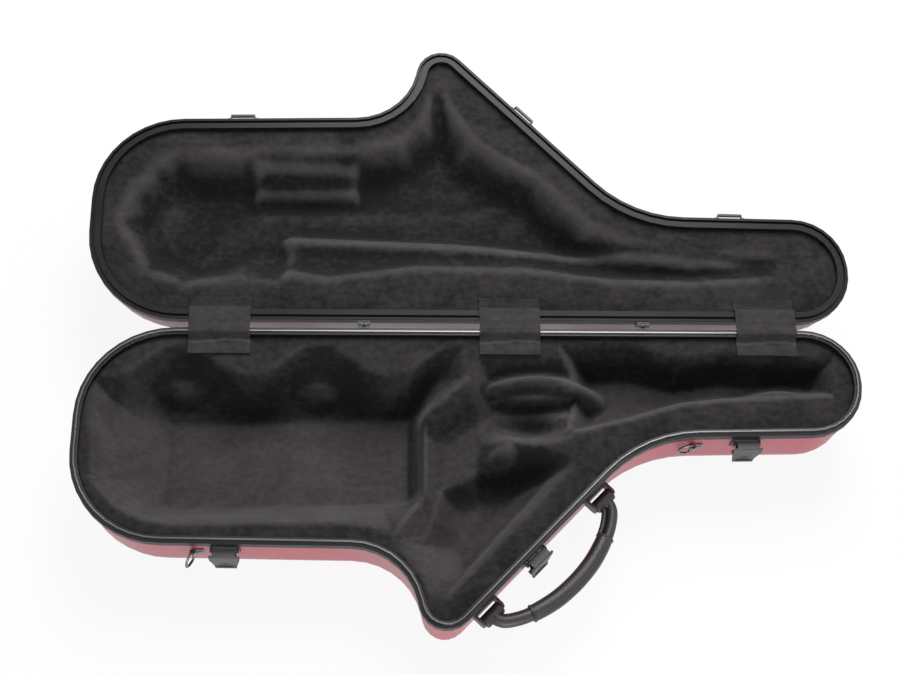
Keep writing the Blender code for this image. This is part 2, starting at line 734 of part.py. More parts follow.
def housing(name):
    """A plate on the shell's wall with two ears that carry the link's pin."""
    low = HOUSING_TOP + HOUSING_HIGH
    top_out, low_out = base_wall_out(HOUSING_TOP), base_wall_out(low)
    plate = [
        (top_out, -HOUSING_TOP),
        (low_out, -low),
        (low_out + HOUSING_THICK, -low),
        (top_out + HOUSING_THICK, -HOUSING_TOP),
    ]
    half = LATCH_WIDE / 2
    obj = make(name, extruded(plate, -half, half))
    reach = LINK_R + 0.3
    ear = [
        (top_out + 0.5, -PIVOT_DOWN + reach),
        (PIVOT_OUT + 0.6, -PIVOT_DOWN + reach),
        (PIVOT_OUT + reach, -PIVOT_DOWN + 0.6),
        (PIVOT_OUT + reach, -PIVOT_DOWN - 0.6),
        (PIVOT_OUT + 0.6, -PIVOT_DOWN - reach),
        (top_out + 0.5, -PIVOT_DOWN - reach - 1.5),
    ]
    inner = LINK_WIDE / 2 + GAP
    for side in (-1, 1):
        ends = sorted((side * inner, side * (inner + LUG_THICK)))
        combine(obj, [extruded(ear, *ends)], "UNION")
    bore = rod(LATCH_PIN_R + BORE_PLAY, -half, half, (PIVOT_OUT, -PIVOT_DOWN))
    return finish(combine(obj, [bore], "DIFFERENCE"), latch_black())


def link(name):
    """A flat bar with a round eye at each end, drawn at its hanging angle about its first eye."""
    far = (LINK_REACH * math.cos(LINK_SWING), -LINK_REACH * math.sin(LINK_SWING))
    across = -LINK_SWING + math.pi / 2
    section = []
    for centre, start in ((far, across - math.pi), ((0.0, 0.0), across)):
        for k in range(7):
            angle = start + math.pi * k / 6
            section.append((centre[0] + LINK_R * math.cos(angle), centre[1] + LINK_R * math.sin(angle)))
    obj = make(name, extruded(section, -LINK_WIDE / 2, LINK_WIDE / 2))
    bores = [rod(LATCH_PIN_R + BORE_PLAY, -LINK_WIDE, LINK_WIDE, centre) for centre in (far, (0.0, 0.0))]
    return finish(combine(obj, bores, "DIFFERENCE"), steel())


def lever(name):
    """A finger plate with a claw at its top, drawn closed about the link's far pivot."""
    pivot = link_place(LINK_SWING)
    inner = pivot[0] + LINK_R + GAP
    outer = inner + LEVER_THICK
    over_bar = RIM_GAP + KEEPER_LOW + KEEPER_HIGH + GAP
    tip = -LEVER_TIP_DOWN
    plate = [
        (inner, over_bar),
        (outer - 0.6, over_bar),
        (outer + 0.4, over_bar - 1.2),
        (outer + 0.4, -4.4),
        (outer, -5.2),
        (outer, tip + 4),
        (outer + LEVER_CURL, tip),
        (inner + LEVER_CURL, tip),
        (inner, tip + 4),
    ]
    bm = extruded(plate, -LATCH_WIDE / 2, LATCH_WIDE / 2)
    for vert in bm.verts:
        share = min(1.0, max(0.0, (-5.2 - vert.co.z) / (LEVER_TIP_DOWN - 5.2)))
        vert.co.x *= 1 - LEVER_TAPER * share
    obj = make(name, bm)
    bar_in = KEEPER_BAR_OUT - KEEPER_BAR_WALL
    claw = [
        (bar_in - GAP - CLAW_THICK, over_bar - CLAW_HOOK),
        (bar_in - GAP, over_bar - CLAW_HOOK),
        (bar_in - GAP, over_bar),
        (inner + 0.4, over_bar),
        (inner + 0.4, over_bar - 1.0),
        (outer - 0.4, over_bar - 1.0),
        (outer - 0.4, over_bar + CLAW_THICK - 0.5),
        (outer - 0.9, over_bar + CLAW_THICK),
        (bar_in - GAP - CLAW_THICK, over_bar + CLAW_THICK),
    ]
    lug = [
        (inner + 0.5, pivot[1] + LINK_R),
        (pivot[0], pivot[1] + LINK_R),
        (pivot[0] - LINK_R * 0.8, pivot[1] + LINK_R * 0.6),
        (pivot[0] - LINK_R, pivot[1]),
        (pivot[0] - LINK_R * 0.8, pivot[1] - LINK_R * 0.6),
        (pivot[0], pivot[1] - LINK_R),
        (inner + 0.5, pivot[1] - LINK_R),
    ]
    tools = [extruded(claw, -CLAW_WIDE / 2, CLAW_WIDE / 2)]
    near = LINK_WIDE / 2 + GAP
    tools.append(extruded(lug, -near - LUG_THICK, -near))
    tools.append(extruded(lug, near, near + LUG_THICK))
    combine(obj, tools, "UNION")
    combine(obj, [rod(LATCH_PIN_R + BORE_PLAY, -LATCH_WIDE, LATCH_WIDE, pivot)], "DIFFERENCE")
    obj.data.transform(shifted(0, pivot[0], -pivot[1]))
    return finish(obj, latch_black())


def keeper(name):
    """A bridge on the lid's rim with a window behind its bar."""
    half = KEEPER_LONG / 2
    leg = half - KEEPER_FOOT
    section = [
        (-half, GAP),
        (-leg + KEEPER_WALL, GAP),
        (-leg + KEEPER_WALL, KEEPER_BAR_OUT - KEEPER_BAR_WALL),
        (leg - KEEPER_WALL, KEEPER_BAR_OUT - KEEPER_BAR_WALL),
        (leg - KEEPER_WALL, GAP),
        (half, GAP),
        (half, GAP + KEEPER_WALL),
        (leg, GAP + KEEPER_WALL),
        (leg, KEEPER_BAR_OUT - 1.0),
        (leg - 1.0, KEEPER_BAR_OUT),
        (-leg + 1.0, KEEPER_BAR_OUT),
        (-leg, KEEPER_BAR_OUT - 1.0),
        (-leg, GAP + KEEPER_WALL),
        (-half, GAP + KEEPER_WALL),
    ]
    bm = bmesh.new()
    levels = (-KEEPER_LOW - KEEPER_HIGH, -KEEPER_LOW)
    loft(bm, [[(s, -u, w) for s, u in section] for w in levels], False)
    return finish(make(name, bm), latch_black())


def latch(side, wall, along, base, lid):
    at_wall = wall_frame(wall, along)
    name = f"latch_{side}"
    place(housing(f"{name}_housing"), base, at_wall)
    pin_half = LINK_WIDE / 2 + GAP + LUG_THICK
    near = (PIVOT_OUT, -PIVOT_DOWN)
    near_pin = finish(make(f"{name}_housing_pin", rod(LATCH_PIN_R, -pin_half, pin_half, near)), steel())
    place(near_pin, base, at_wall)
    at_near = at_wall @ shifted(0, -near[0], near[1])
    arm = place(link(f"{name}_link"), base, at_near)
    far = link_place(-LINK_SWING)
    at_far = shifted(0, near[0] - far[0], far[1] - near[1])
    far_pin = finish(make(f"{name}_lever_pin", rod(LATCH_PIN_R, -pin_half, pin_half, (0.0, 0.0))), steel())
    place(far_pin, arm, at_far)
    place(lever(f"{name}_lever"), arm, at_far)
    place(keeper(f"keeper_{side}"), lid, wall_frame(wall, along, True))


def bracket(name):
    """A plate on the wall with two feet and the bar that the handle's strap turns on."""
    half = BRACKET_LONG / 2
    seat = base_wall_out(HANDLE_DOWN)
    reach = HANDLE_AXIS_OUT + BAR_R + 1.0
    section = [
        (-half, seat),
        (half, seat),
        (half, HANDLE_AXIS_OUT),
        (half - 1.2, reach),
        (half - FOOT_THICK, reach),
        (half - FOOT_THICK, seat + BRACKET_PLATE),
        (-half + FOOT_THICK, seat + BRACKET_PLATE),
        (-half + FOOT_THICK, reach),
        (-half + 1.2, reach),
        (-half, HANDLE_AXIS_OUT),
    ]
    bm = bmesh.new()
    ends = (-BRACKET_HIGH / 2, BRACKET_HIGH / 2)
    loft(bm, [[(s, -u, w) for s, u in section] for w in ends], False)
    lean = BASE_DRAFT / (BASE_WALL_LOW - SHELL_TOP)
    for vert in bm.verts:
        if vert.co.y > -seat - 0.01:
            vert.co.y -= lean * vert.co.z
    obj = make(name, bm)
    bar = rod(BAR_R, -half + 0.5, half - 0.5, (HANDLE_AXIS_OUT, 0.0))
    return finish(combine(obj, [bar], "UNION"), latch_black())


def strap(name, side):
    """A moulded strap from its eye on the bracket's bar to the end of the grip."""
    eye_half = BRACKET_LONG / 2 - FOOT_THICK - GAP
    middle = HANDLE_SPACING / 2
    end = GRIP_LONG / 2 + GAP
    centre = GRIP_OUT - HANDLE_AXIS_OUT
    eye_r = BAR_R + BORE_PLAY + EYE_WALL
    edge = [
        (middle + eye_half, 0),
        (middle + eye_half, STRAP_NECK),
        (middle + eye_half - 6, STRAP_SHOULDER),
        (middle + eye_half - 18, STRAP_ELBOW),
        (end + 8, centre + STRAP_END / 2 - 0.5),
        (end, centre + STRAP_END / 2 + 0.5),
        (end, centre + 0.5 - STRAP_END / 2),
        (middle - eye_half + 1, STRAP_NECK + 1),
        (middle - eye_half, 0),
    ]
    bm = bmesh.new()
    levels = (-STRAP_THICK / 2, STRAP_THICK / 2)
    loft(bm, [[(side * s, -u, w) for s, u in edge] for w in levels], False)
    obj = make(name, bm)
    eye = sorted((side * (middle - eye_half), side * (middle + eye_half)))
    combine(obj, [rod(eye_r, *eye, (0.0, 0.0), 16)], "UNION")
    combine(obj, [rod(BAR_R + BORE_PLAY, eye[0] - 5, eye[1] + 5, (0.0, 0.0))], "DIFFERENCE")
    return finish(obj, leather())


def grip(name):
    """A bowed round grip with narrower sleeve ends."""
    half = GRIP_LONG / 2
    sections = []
    for k in range(GRIP_RINGS + 1):
        share = 2 * k / GRIP_RINGS - 1
        s = half * share
        out = GRIP_OUT - HANDLE_AXIS_OUT + GRIP_BOW * (1 - share * share)
        radius = GRIP_END_R + (GRIP_R - GRIP_END_R) * (1 - share ** 4)
        turns = [2 * math.pi * j / GRIP_SIDES for j in range(GRIP_SIDES)]
        sections.append([(s, -out + radius * math.cos(a), radius * math.sin(a)) for a in turns])
    bm = bmesh.new()
    loft(bm, sections, False)
    return finish(make(name, bm), leather())


def handle(base):
    """Brackets on the slanted wall, and the handle that turns on their common axis."""
    middle = straight_middle("slant") + HANDLE_PAST_MIDDLE
    low = middle - HANDLE_SPACING / 2
    high = middle + HANDLE_SPACING / 2
    down = shifted(0, 0, -HANDLE_DOWN)
    place(bracket("handle_bracket_lower"), base, wall_frame("slant", low) @ down)
    place(bracket("handle_bracket_upper"), base, wall_frame("slant", high) @ down)
    at_axis = wall_frame("slant", middle) @ shifted(0, -HANDLE_AXIS_OUT, -HANDLE_DOWN)
    axis = empty("handle_axis", base, at_axis)
    place(strap("handle_strap_lower", -1), axis, Matrix())
    place(strap("handle_strap_upper", 1), axis, Matrix())
    place(grip("handle_grip"), axis, Matrix())


def ring_tab(name):
    """A riveted tab whose end is rolled round the ring's straight bar, about that bar's axis."""
    inner = RING_WIRE_R + BORE_PLAY + 0.1
    roll = inner + TAB_WALL
    half = TAB_HIGH / 2
    bm = bmesh.new()
    section = [(0.0, -roll), (TAB_LONG, -roll), (TAB_LONG, -inner), (0.0, -inner)]
    loft(bm, [[(s, -u, w) for s, u in section] for w in (-half, half)], False)
    obj = make(name, bm)

    def upright(radius, reach, sides=12):
        turns = [2 * math.pi * (k + 0.5) / sides for k in range(sides)]
        tool = bmesh.new()
        circle = [(radius * math.cos(a), radius * math.sin(a)) for a in turns]
        loft(tool, [[(x, y, w) for x, y in circle] for w in (-reach, reach)], False)
        return tool

    combine(obj, [upright(roll, half)], "UNION")
    combine(obj, [upright(inner, half + 1)], "DIFFERENCE")
    rivet = bmesh.new()
    turns = [2 * math.pi * k / 12 for k in range(12)]
    middle = TAB_LONG - RIVET_R - 1.0
    levels = (
        (RIVET_R, -inner - 0.4),
        (RIVET_R, -inner + RIVET_HIGH * 0.5),
        (RIVET_R * 0.6, -inner + RIVET_HIGH),
    )
    dome = []
    for radius, out in levels:
        dome.append([(middle + radius * math.cos(a), -out, radius * math.sin(a)) for a in turns])
    loft(rivet, dome, False)
    return finish(combine(obj, [rivet], "UNION"), steel())


def d_ring(name):
    """A D-shaped ring of wire, its straight bar on the hinge axis and its bow towards -X."""
    straight = RING_HIGH / 2
    bend = 4.0
    centre = [(0.0, 0.0, -straight + bend), (0.0, 0.0, straight - bend)]
    for k in range(1, 3):
        angle = math.pi / 2 * k / 3
        centre.append((-bend * (1 - math.cos(angle)), 0.0, straight - bend + bend * math.sin(angle)))
    for k in range(9):
        angle = math.pi / 2 + math.pi * k / 8
        reach = RING_REACH - bend
        centre.append((-bend + reach * math.cos(angle), 0.0, straight * math.sin(angle)))
    for k in range(2, 0, -1):
        angle = math.pi / 2 * k / 3
        centre.append((-bend * (1 - math.cos(angle)), 0.0, -straight + bend - bend * math.sin(angle)))
    path = bpy.data.curves.new(name, "CURVE")
    path.dimensions = "3D"
    line = path.splines.new("POLY")
    line.points.add(len(centre) - 1)
    for point, (x, y, z) in zip(line.points, centre):
        point.co = (x * MM, y * MM, z * MM, 1)
    line.use_cyclic_u = True
    path.bevel_depth = RING_WIRE_R * MM
    path.bevel_resolution = 2
    path.materials.append(steel())
    obj = bpy.data.objects.new(name, path)
    bpy.context.scene.collection.objects.link(obj)
    return obj


def strap_rings(base):
    inner = RING_WIRE_R + BORE_PLAY + 0.1
    out = base_wall_out(RING_DOWN - TAB_HIGH / 2) + inner + TAB_WALL
    for side, (wall, along, swing) in RING_PLACES.items():
        at_axis = wall_frame(wall, along) @ shifted(0, -out, -RING_DOWN)
        place(ring_tab(f"ring_tab_{side}"), base, at_axis)
        turned = at_axis @ Matrix.Rotation(math.radians(swing), 4, "Z")
        place(d_ring(f"d_ring_{side}"), base, turned)


def build():
    clear_scene()
    base = empty("base_frame", None, shifted(SHIFT_X, SHIFT_Y, BASE_DEPTH))
    tilt = Matrix.Rotation(LID_TILT, 4, "X")
    lid_axis = empty("lid_axis", None, shifted(SHIFT_X, SHIFT_Y, AXIS_Z) @ tilt)
    lid = empty("lid_frame", lid_axis, shifted(0, 0, -RIM_GAP / 2))
    place(shell("base_shell", base_profile, 1), base, Matrix())
    place(base_rim(), base, Matrix())
    place(liner("base_liner", base_profile, BASE_RIM_WIDE, base_height, 1), base, Matrix())
    place(shell("lid_shell", lid_profile, -1), lid, Matrix())
    place(lid_rim(), lid, Matrix())
    place(liner("lid_liner", lid_profile, LID_RIM_WIDE, lid_height, -1), lid, Matrix())
    for side, x in zip(("left", "middle", "right"), FLAP_X):
        flap(f"flap_{side}", x, base)
    hinges(base, lid)
    for side, (wall, along) in LATCH_PLACES.items():
        latch(side, wall, along, base, lid)
    handle(base)
    strap_rings(base)


build()
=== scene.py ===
# %% [markdown]
# # A tenor saxophone case
#
# The case lies open on its back. The base is in front, the lid is folded back behind it, and both are lined
# with black velour over foam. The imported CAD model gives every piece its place. This lesson adds what the
# eye reads: the pile of the velour, the moulded plastic of the latches, the stitched leather of the handle
# and the light.

# %% Load the frame
import json
import math

import bmesh
import bpy
import numpy as np
from mathutils import Matrix, Vector


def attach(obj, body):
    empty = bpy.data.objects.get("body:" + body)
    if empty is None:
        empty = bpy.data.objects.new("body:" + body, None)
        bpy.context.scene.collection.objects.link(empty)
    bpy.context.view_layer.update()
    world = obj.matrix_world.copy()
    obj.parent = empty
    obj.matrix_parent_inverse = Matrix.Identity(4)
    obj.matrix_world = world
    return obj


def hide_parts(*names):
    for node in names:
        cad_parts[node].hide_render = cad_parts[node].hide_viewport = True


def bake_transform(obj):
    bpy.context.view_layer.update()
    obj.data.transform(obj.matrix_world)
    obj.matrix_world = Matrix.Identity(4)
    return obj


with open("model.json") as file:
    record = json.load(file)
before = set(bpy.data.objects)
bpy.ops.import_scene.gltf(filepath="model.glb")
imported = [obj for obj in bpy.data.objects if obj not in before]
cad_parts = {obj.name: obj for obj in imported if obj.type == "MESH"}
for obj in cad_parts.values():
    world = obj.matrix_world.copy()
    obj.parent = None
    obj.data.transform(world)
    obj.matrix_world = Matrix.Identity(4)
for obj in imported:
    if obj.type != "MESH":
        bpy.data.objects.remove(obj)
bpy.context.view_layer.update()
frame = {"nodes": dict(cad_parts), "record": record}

# %% [markdown]
# ## The camera
#
# The photograph looks down on the open case from the front, about 65 degrees above the floor. A camera is
# placed by three directions: where its right hand points, where its top points and where it looks. Written
# as the columns of a matrix they need no constraint, and the view stays the same when the model changes.

# %% Set the camera
CAMERA_PLACE = (-0.0934, -0.6661, 1.5013)
CAMERA_RIGHT = Vector((0.998992, -0.013916, 0.042670))
CAMERA_TOP = Vector((-0.005320, 0.907296, 0.420459))
lens = bpy.data.cameras.new("photo_view")
lens.lens = 58.0
lens.sensor_width = 36.0
lens.clip_start = 0.01
camera = bpy.data.objects.new("photo_view", lens)
bpy.context.scene.collection.objects.link(camera)
turn = Matrix((CAMERA_RIGHT, CAMERA_TOP, CAMERA_RIGHT.cross(CAMERA_TOP))).transposed()
camera.matrix_world = Matrix.Translation(CAMERA_PLACE) @ turn.to_4x4()
bpy.context.scene.camera = camera
print("camera looks along", [round(c, 3) for c in -turn.col[2]])

# %% [markdown]
# ## Light and floor
#
# A product photograph like this one is lit by large soft boxes, so shadows have no hard edge and black
# velour still shows its folds. A wide lamp hangs over the back, a smaller one stands low in front, and the
# sky fills the rest. The floor is pale. What the camera sees of the floor and the sky is whitened, so the
# lamps can stay at a plain level.

# %% Helpers for lamps and shader nodes
def soft_box(name, place, target, size, power):
    """A square area lamp that faces a point."""
    lamp = bpy.data.lights.new(name, "AREA")
    lamp.shape = "SQUARE"
    lamp.size = size
    lamp.energy = power
    obj = bpy.data.objects.new(name, lamp)
    bpy.context.scene.collection.objects.link(obj)
    aim = (Vector(target) - Vector(place)).to_track_quat("-Z", "Y")
    obj.matrix_world = Matrix.Translation(place) @ aim.to_matrix().to_4x4()
    return obj


def add_node(tree, kind, **values):
    """A shader node with its properties and unlinked sockets set."""
    node = tree.nodes.new(kind)
    for key, value in values.items():
        if hasattr(node, key):
            setattr(node, key, value)
        else:
            node.inputs[key.replace("_", " ")].default_value = value
    return node


def white_for_camera(tree, emitter, share):
    """A mix with plain white that shows to the camera, to a reflection and through glass."""
    path = add_node(tree, "ShaderNodeLightPath")
    seen = add_node(tree, "ShaderNodeMath", operation="MAXIMUM")
    through = add_node(tree, "ShaderNodeMath", operation="MAXIMUM")
    amount = add_node(tree, "ShaderNodeMath", operation="MULTIPLY")
    amount.inputs[1].default_value = share
    tree.links.new(path.outputs["Is Camera Ray"], seen.inputs[0])
    tree.links.new(path.outputs["Is Glossy Ray"], seen.inputs[1])
    tree.links.new(seen.outputs[0], through.inputs[0])
    tree.links.new(path.outputs["Is Transmission Ray"], through.inputs[1])
    tree.links.new(through.outputs[0], amount.inputs[0])
    white = add_node(tree, emitter, Strength=1.0, Color=(1.0, 1.0, 1.0, 1.0))
    mix = add_node(tree, "ShaderNodeMixShader")
    tree.links.new(amount.outputs[0], mix.inputs[0])
    tree.links.new(white.outputs[0], mix.inputs[2])
    return mix


print("lamp and node helpers are ready")

# %% The sky and the lamps
SKY_COLOUR = (0.95, 0.97, 1.0, 1.0)
SKY_STRENGTH = 0.42
LAMPS = {
    "over_back": {"place": (0.25, 1.1, 1.6), "target": (0.0, 0.0, 0.05), "size": 1.1, "power": 36.0},
    "low_front": {"place": (0.2, -1.9, 0.45), "target": (0.0, -0.1, 0.02), "size": 0.8, "power": 16.0},
}
bpy.context.scene.view_settings.view_transform = "Standard"
world = bpy.data.worlds.new("studio")
world.use_nodes = True
bpy.context.scene.world = world
sky = world.node_tree.nodes["Background"]
sky.inputs["Color"].default_value = SKY_COLOUR
sky.inputs["Strength"].default_value = SKY_STRENGTH
mix = white_for_camera(world.node_tree, "ShaderNodeBackground", 1.0)
world.node_tree.links.new(sky.outputs[0], mix.inputs[1])
world.node_tree.links.new(mix.outputs[0], world.node_tree.nodes["World Output"].inputs[0])
for name, settings in LAMPS.items():
    soft_box(name, **settings)
print("lamps:", list(LAMPS))

# %% The floor
FLOOR_HALF = 12.0
FLOOR_COLOUR = (0.92, 0.92, 0.92, 1.0)
FLOOR_WHITENED = 0.9
bm = bmesh.new()
bmesh.ops.create_grid(bm, x_segments=1, y_segments=1, size=FLOOR_HALF)
mesh = bpy.data.meshes.new("floor")
bm.to_mesh(mesh)
bm.free()
floor = bpy.data.objects.new("floor", mesh)
bpy.context.scene.collection.objects.link(floor)
highlight = bpy.data.materials.new("pale_floor")
highlight.use_nodes = True
paint = highlight.node_tree.nodes["Principled BSDF"]
paint.inputs["Base Color"].default_value = FLOOR_COLOUR
paint.inputs["Roughness"].default_value = 0.9
paint.inputs["Specular IOR Level"].default_value = 0.1
mix = white_for_camera(highlight.node_tree, "ShaderNodeEmission", FLOOR_WHITENED)
highlight.node_tree.links.new(paint.outputs[0], mix.inputs[1])
highlight.node_tree.links.new(mix.outputs[0], highlight.node_tree.nodes["Material Output"].inputs[0])
floor.data.materials.append(highlight)
print("the floor is", 2 * FLOOR_HALF, "m wide")

# %% [markdown]
# ## Shared surface effects
#
# Several finishes here need the same small effects: the pebbled grain of moulded plastic and leather, the
# soft brushed patches of a pile fabric with painted light and shade added to them, and lines drawn along
# an extrusion. Each is a node group with named sockets, built once. A group only gives out masks and
# heights, and the shader stays in each material, so every material can use the effect at its own scale.

# %% Helpers for node groups
def new_group(name, inputs, outputs):
    """An empty shader node group with float or vector inputs and float outputs."""
    group = bpy.data.node_groups.new(name, "ShaderNodeTree")
    for socket, value in inputs.items():
        kind = "NodeSocketVector" if value is None else "NodeSocketFloat"
        made = group.interface.new_socket(socket, in_out="INPUT", socket_type=kind)
        if value is not None:
            made.default_value = value
    for socket in outputs:
        group.interface.new_socket(socket, in_out="OUTPUT", socket_type="NodeSocketFloat")
    entry = group.nodes.new("NodeGroupInput")
    leave = group.nodes.new("NodeGroupOutput")
    return group, entry, leave


def ramp(tree, low, high, source):
    """Stretch a value from low..high to 0..1."""
    node = add_node(tree, "ShaderNodeMapRange", clamp=True)
    node.inputs["From Min"].default_value = low
    node.inputs["From Max"].default_value = high
    tree.links.new(source, node.inputs["Value"])
    return node.outputs["Result"]


def math_node(tree, operation, first, second):
    """A math node on two sockets or numbers."""
    node = add_node(tree, "ShaderNodeMath", operation=operation)
    for socket, value in zip(node.inputs, (first, second)):
        if isinstance(value, (int, float)):
            socket.default_value = value
        else:
            tree.links.new(value, socket)
    return node.outputs[0]


print("group helpers are ready")

# %% Pebbled grain
FINE_TO_PEBBLE = 2.3
PEBBLE_DEEP = -0.8
grain, entry, leave = new_group("pebbled_grain", {"Vector": None, "Scale": 900.0}, ["Height", "Cloud"])
cells = add_node(grain, "ShaderNodeTexVoronoi", feature="F1")
fine = add_node(grain, "ShaderNodeTexNoise", Detail=3.0)
cloud = add_node(grain, "ShaderNodeTexNoise", Detail=4.0, Scale=14.0)
finer = math_node(grain, "MULTIPLY", entry.outputs["Scale"], FINE_TO_PEBBLE)
for node in (cells, fine, cloud):
    grain.links.new(entry.outputs["Vector"], node.inputs["Vector"])
grain.links.new(entry.outputs["Scale"], cells.inputs["Scale"])
grain.links.new(finer, fine.inputs["Scale"])
pebble = math_node(grain, "MULTIPLY", cells.outputs["Distance"], PEBBLE_DEEP)
grain.links.new(math_node(grain, "ADD", pebble, fine.outputs["Fac"]), leave.inputs["Height"])
grain.links.new(ramp(grain, 0.3, 0.7, cloud.outputs["Fac"]), leave.inputs["Cloud"])
print("group", grain.name)

# %% Brushed pile
CRUSH_STRETCH = (70.0, 210.0, 70.0)
PATCH_SHARE = 0.28
MOTTLE_SHARE = 0.15
PILE_DARK = 0.30
TUFT_HIGH = 0.8
CRUSH_HIGH = 2.5
# One input of this group carries painted light and shade from a velour's attribute. It is added to the random
# patches, tufts and crush marks, so the patch mask is partly painted light.
pile, entry, leave = new_group(
    "brushed_pile", {"Vector": None, "Painted Light": 0.5, "Patch Scale": 9.0, "Crush": 0.3}, ["Patch", "Height"])
patch = add_node(pile, "ShaderNodeTexNoise", Detail=5.0, Distortion=1.1)
fibre = add_node(pile, "ShaderNodeTexNoise", Detail=3.0, Scale=1500.0)
tuft = add_node(pile, "ShaderNodeTexNoise", Detail=3.0, Scale=140.0)
crush = add_node(pile, "ShaderNodeTexNoise", Detail=4.0, Scale=1.0, Distortion=0.6)
long_way = add_node(pile, "ShaderNodeMapping")
long_way.inputs["Scale"].default_value = CRUSH_STRETCH
for node in (patch, fibre, tuft, long_way):
    pile.links.new(entry.outputs["Vector"], node.inputs["Vector"])
pile.links.new(long_way.outputs["Vector"], crush.inputs["Vector"])
pile.links.new(entry.outputs["Patch Scale"], patch.inputs["Scale"])
soft = ramp(pile, 0.3, 0.7, patch.outputs["Fac"])
mottle = ramp(pile, 0.38, 0.62, tuft.outputs["Fac"])
marks = ramp(pile, 0.42, 0.62, crush.outputs["Fac"])
patches = math_node(pile, "MULTIPLY", soft, PATCH_SHARE)
mottles = math_node(pile, "MULTIPLY", mottle, MOTTLE_SHARE)
marked = math_node(pile, "MULTIPLY", marks, entry.outputs["Crush"])
uneven = math_node(pile, "ADD", math_node(pile, "ADD", patches, mottles), marked)
patches_and_painted_light = math_node(pile, "SUBTRACT", math_node(pile, "ADD", uneven, entry.outputs["Painted Light"]), PILE_DARK)
pile.links.new(ramp(pile, 0.0, 1.0, patches_and_painted_light), leave.inputs["Patch"])
tufts = math_node(pile, "MULTIPLY", tuft.outputs["Fac"], TUFT_HIGH)
rough = math_node(pile, "ADD", tufts, math_node(pile, "MULTIPLY", marked, CRUSH_HIGH))
pile.links.new(math_node(pile, "ADD", fibre.outputs["Fac"], rough), leave.inputs["Height"])
print("group", pile.name)

# %% Drawn lines
STREAK_STRETCH = (12.0, 12.0, 2600.0)
lines, entry, leave = new_group("drawn_lines", {"Vector": None, "Pitch": 0.0024}, ["Height", "Streak"])
split = add_node(lines, "ShaderNodeSeparateXYZ")
lines.links.new(entry.outputs["Vector"], split.inputs[0])
count = math_node(lines, "DIVIDE", split.outputs["Z"], entry.outputs["Pitch"])
wave = math_node(lines, "SINE", math_node(lines, "MULTIPLY", count, 2 * math.pi), 0.0)
streak = add_node(lines, "ShaderNodeTexNoise", Detail=2.0, Scale=1.0)
stretch = add_node(lines, "ShaderNodeMapping")
stretch.inputs["Scale"].default_value = STREAK_STRETCH
lines.links.new(entry.outputs["Vector"], stretch.inputs["Vector"])
lines.links.new(stretch.outputs["Vector"], streak.inputs["Vector"])
lines.links.new(wave, leave.inputs["Height"])
lines.links.new(streak.outputs["Fac"], leave.inputs["Streak"])
print("group", lines.name)

# %% [markdown]
# ## Materials
#
# Every material reads Object coordinates. All finished objects sit at the origin, so one scale in metres
# holds for the whole case. Two colours and two roughnesses are mixed by the group's mask, because no real
# surface is even. Velour also reads an attribute of painted light and shade at each point, which is added
# to its mask. The lid's rim turns its coordinates by the lid's tilt, so that the drawn lines stay level
# with the rim.

# %% Material helper
def finish_material(name, group, colours, roughness, bump, group_values, painted_light=False, **shader_values):
    """A Principled material: colour and roughness mixed by a group's mask, and a bump from its height."""
    made = bpy.data.materials.new(name)
    made.use_nodes = True
    tree = made.node_tree
    shader = tree.nodes["Principled BSDF"]
    place = add_node(tree, "ShaderNodeTexCoord")
    effect = add_node(tree, "ShaderNodeGroup", node_tree=group)
    turned = add_node(tree, "ShaderNodeMapping")
    tree.links.new(place.outputs["Object"], turned.inputs["Vector"])
    tree.links.new(turned.outputs["Vector"], effect.inputs["Vector"])
    for socket, value in group_values.items():
        effect.inputs[socket].default_value = value
    # Velour reads its painted light and shade from an attribute on its points.
    if painted_light:
        pile_light = add_node(tree, "ShaderNodeAttribute", attribute_name="painted_light")
        tree.links.new(pile_light.outputs["Fac"], effect.inputs["Painted Light"])
    mask = next(socket for socket in effect.outputs if socket.name != "Height")
    blend = add_node(tree, "ShaderNodeMix", data_type="RGBA")
    blend.inputs[6].default_value = (*colours[0], 1.0)
    blend.inputs[7].default_value = (*colours[1], 1.0)
    tree.links.new(mask, blend.inputs[0])
    tree.links.new(blend.outputs[2], shader.inputs["Base Color"])
    rough = add_node(tree, "ShaderNodeMapRange")
    rough.inputs["To Min"].default_value = roughness[0]
    rough.inputs["To Max"].default_value = roughness[1]
    tree.links.new(mask, rough.inputs["Value"])
    tree.links.new(rough.outputs["Result"], shader.inputs["Roughness"])
    dent = add_node(tree, "ShaderNodeBump")
    dent.inputs["Strength"].default_value = bump[0]
    dent.inputs["Distance"].default_value = bump[1]
    tree.links.new(effect.outputs["Height"], dent.inputs["Height"])
    tree.links.new(dent.outputs["Normal"], shader.inputs["Normal"])
    for socket, value in shader_values.items():
        shader.inputs[socket.replace("_", " ")].default_value = value
    return made, turned


print("the material helper is ready")

# %% The case's own finishes
LID_TILT = math.radians(6.3)
PILE_SHEEN = {"Sheen_Weight": 0.12, "Sheen_Roughness": 0.4, "Sheen_Tint": (0.75, 0.72, 0.72, 1.0),
              "Specular_IOR_Level": 0.12}
shell_red, _ = finish_material(
    "shell_red", grain, ((0.31, 0.024, 0.046), (0.37, 0.036, 0.060)), (0.34, 0.44), (0.12, 0.0002),
    {"Scale": 700.0}, Specular_IOR_Level=0.7)
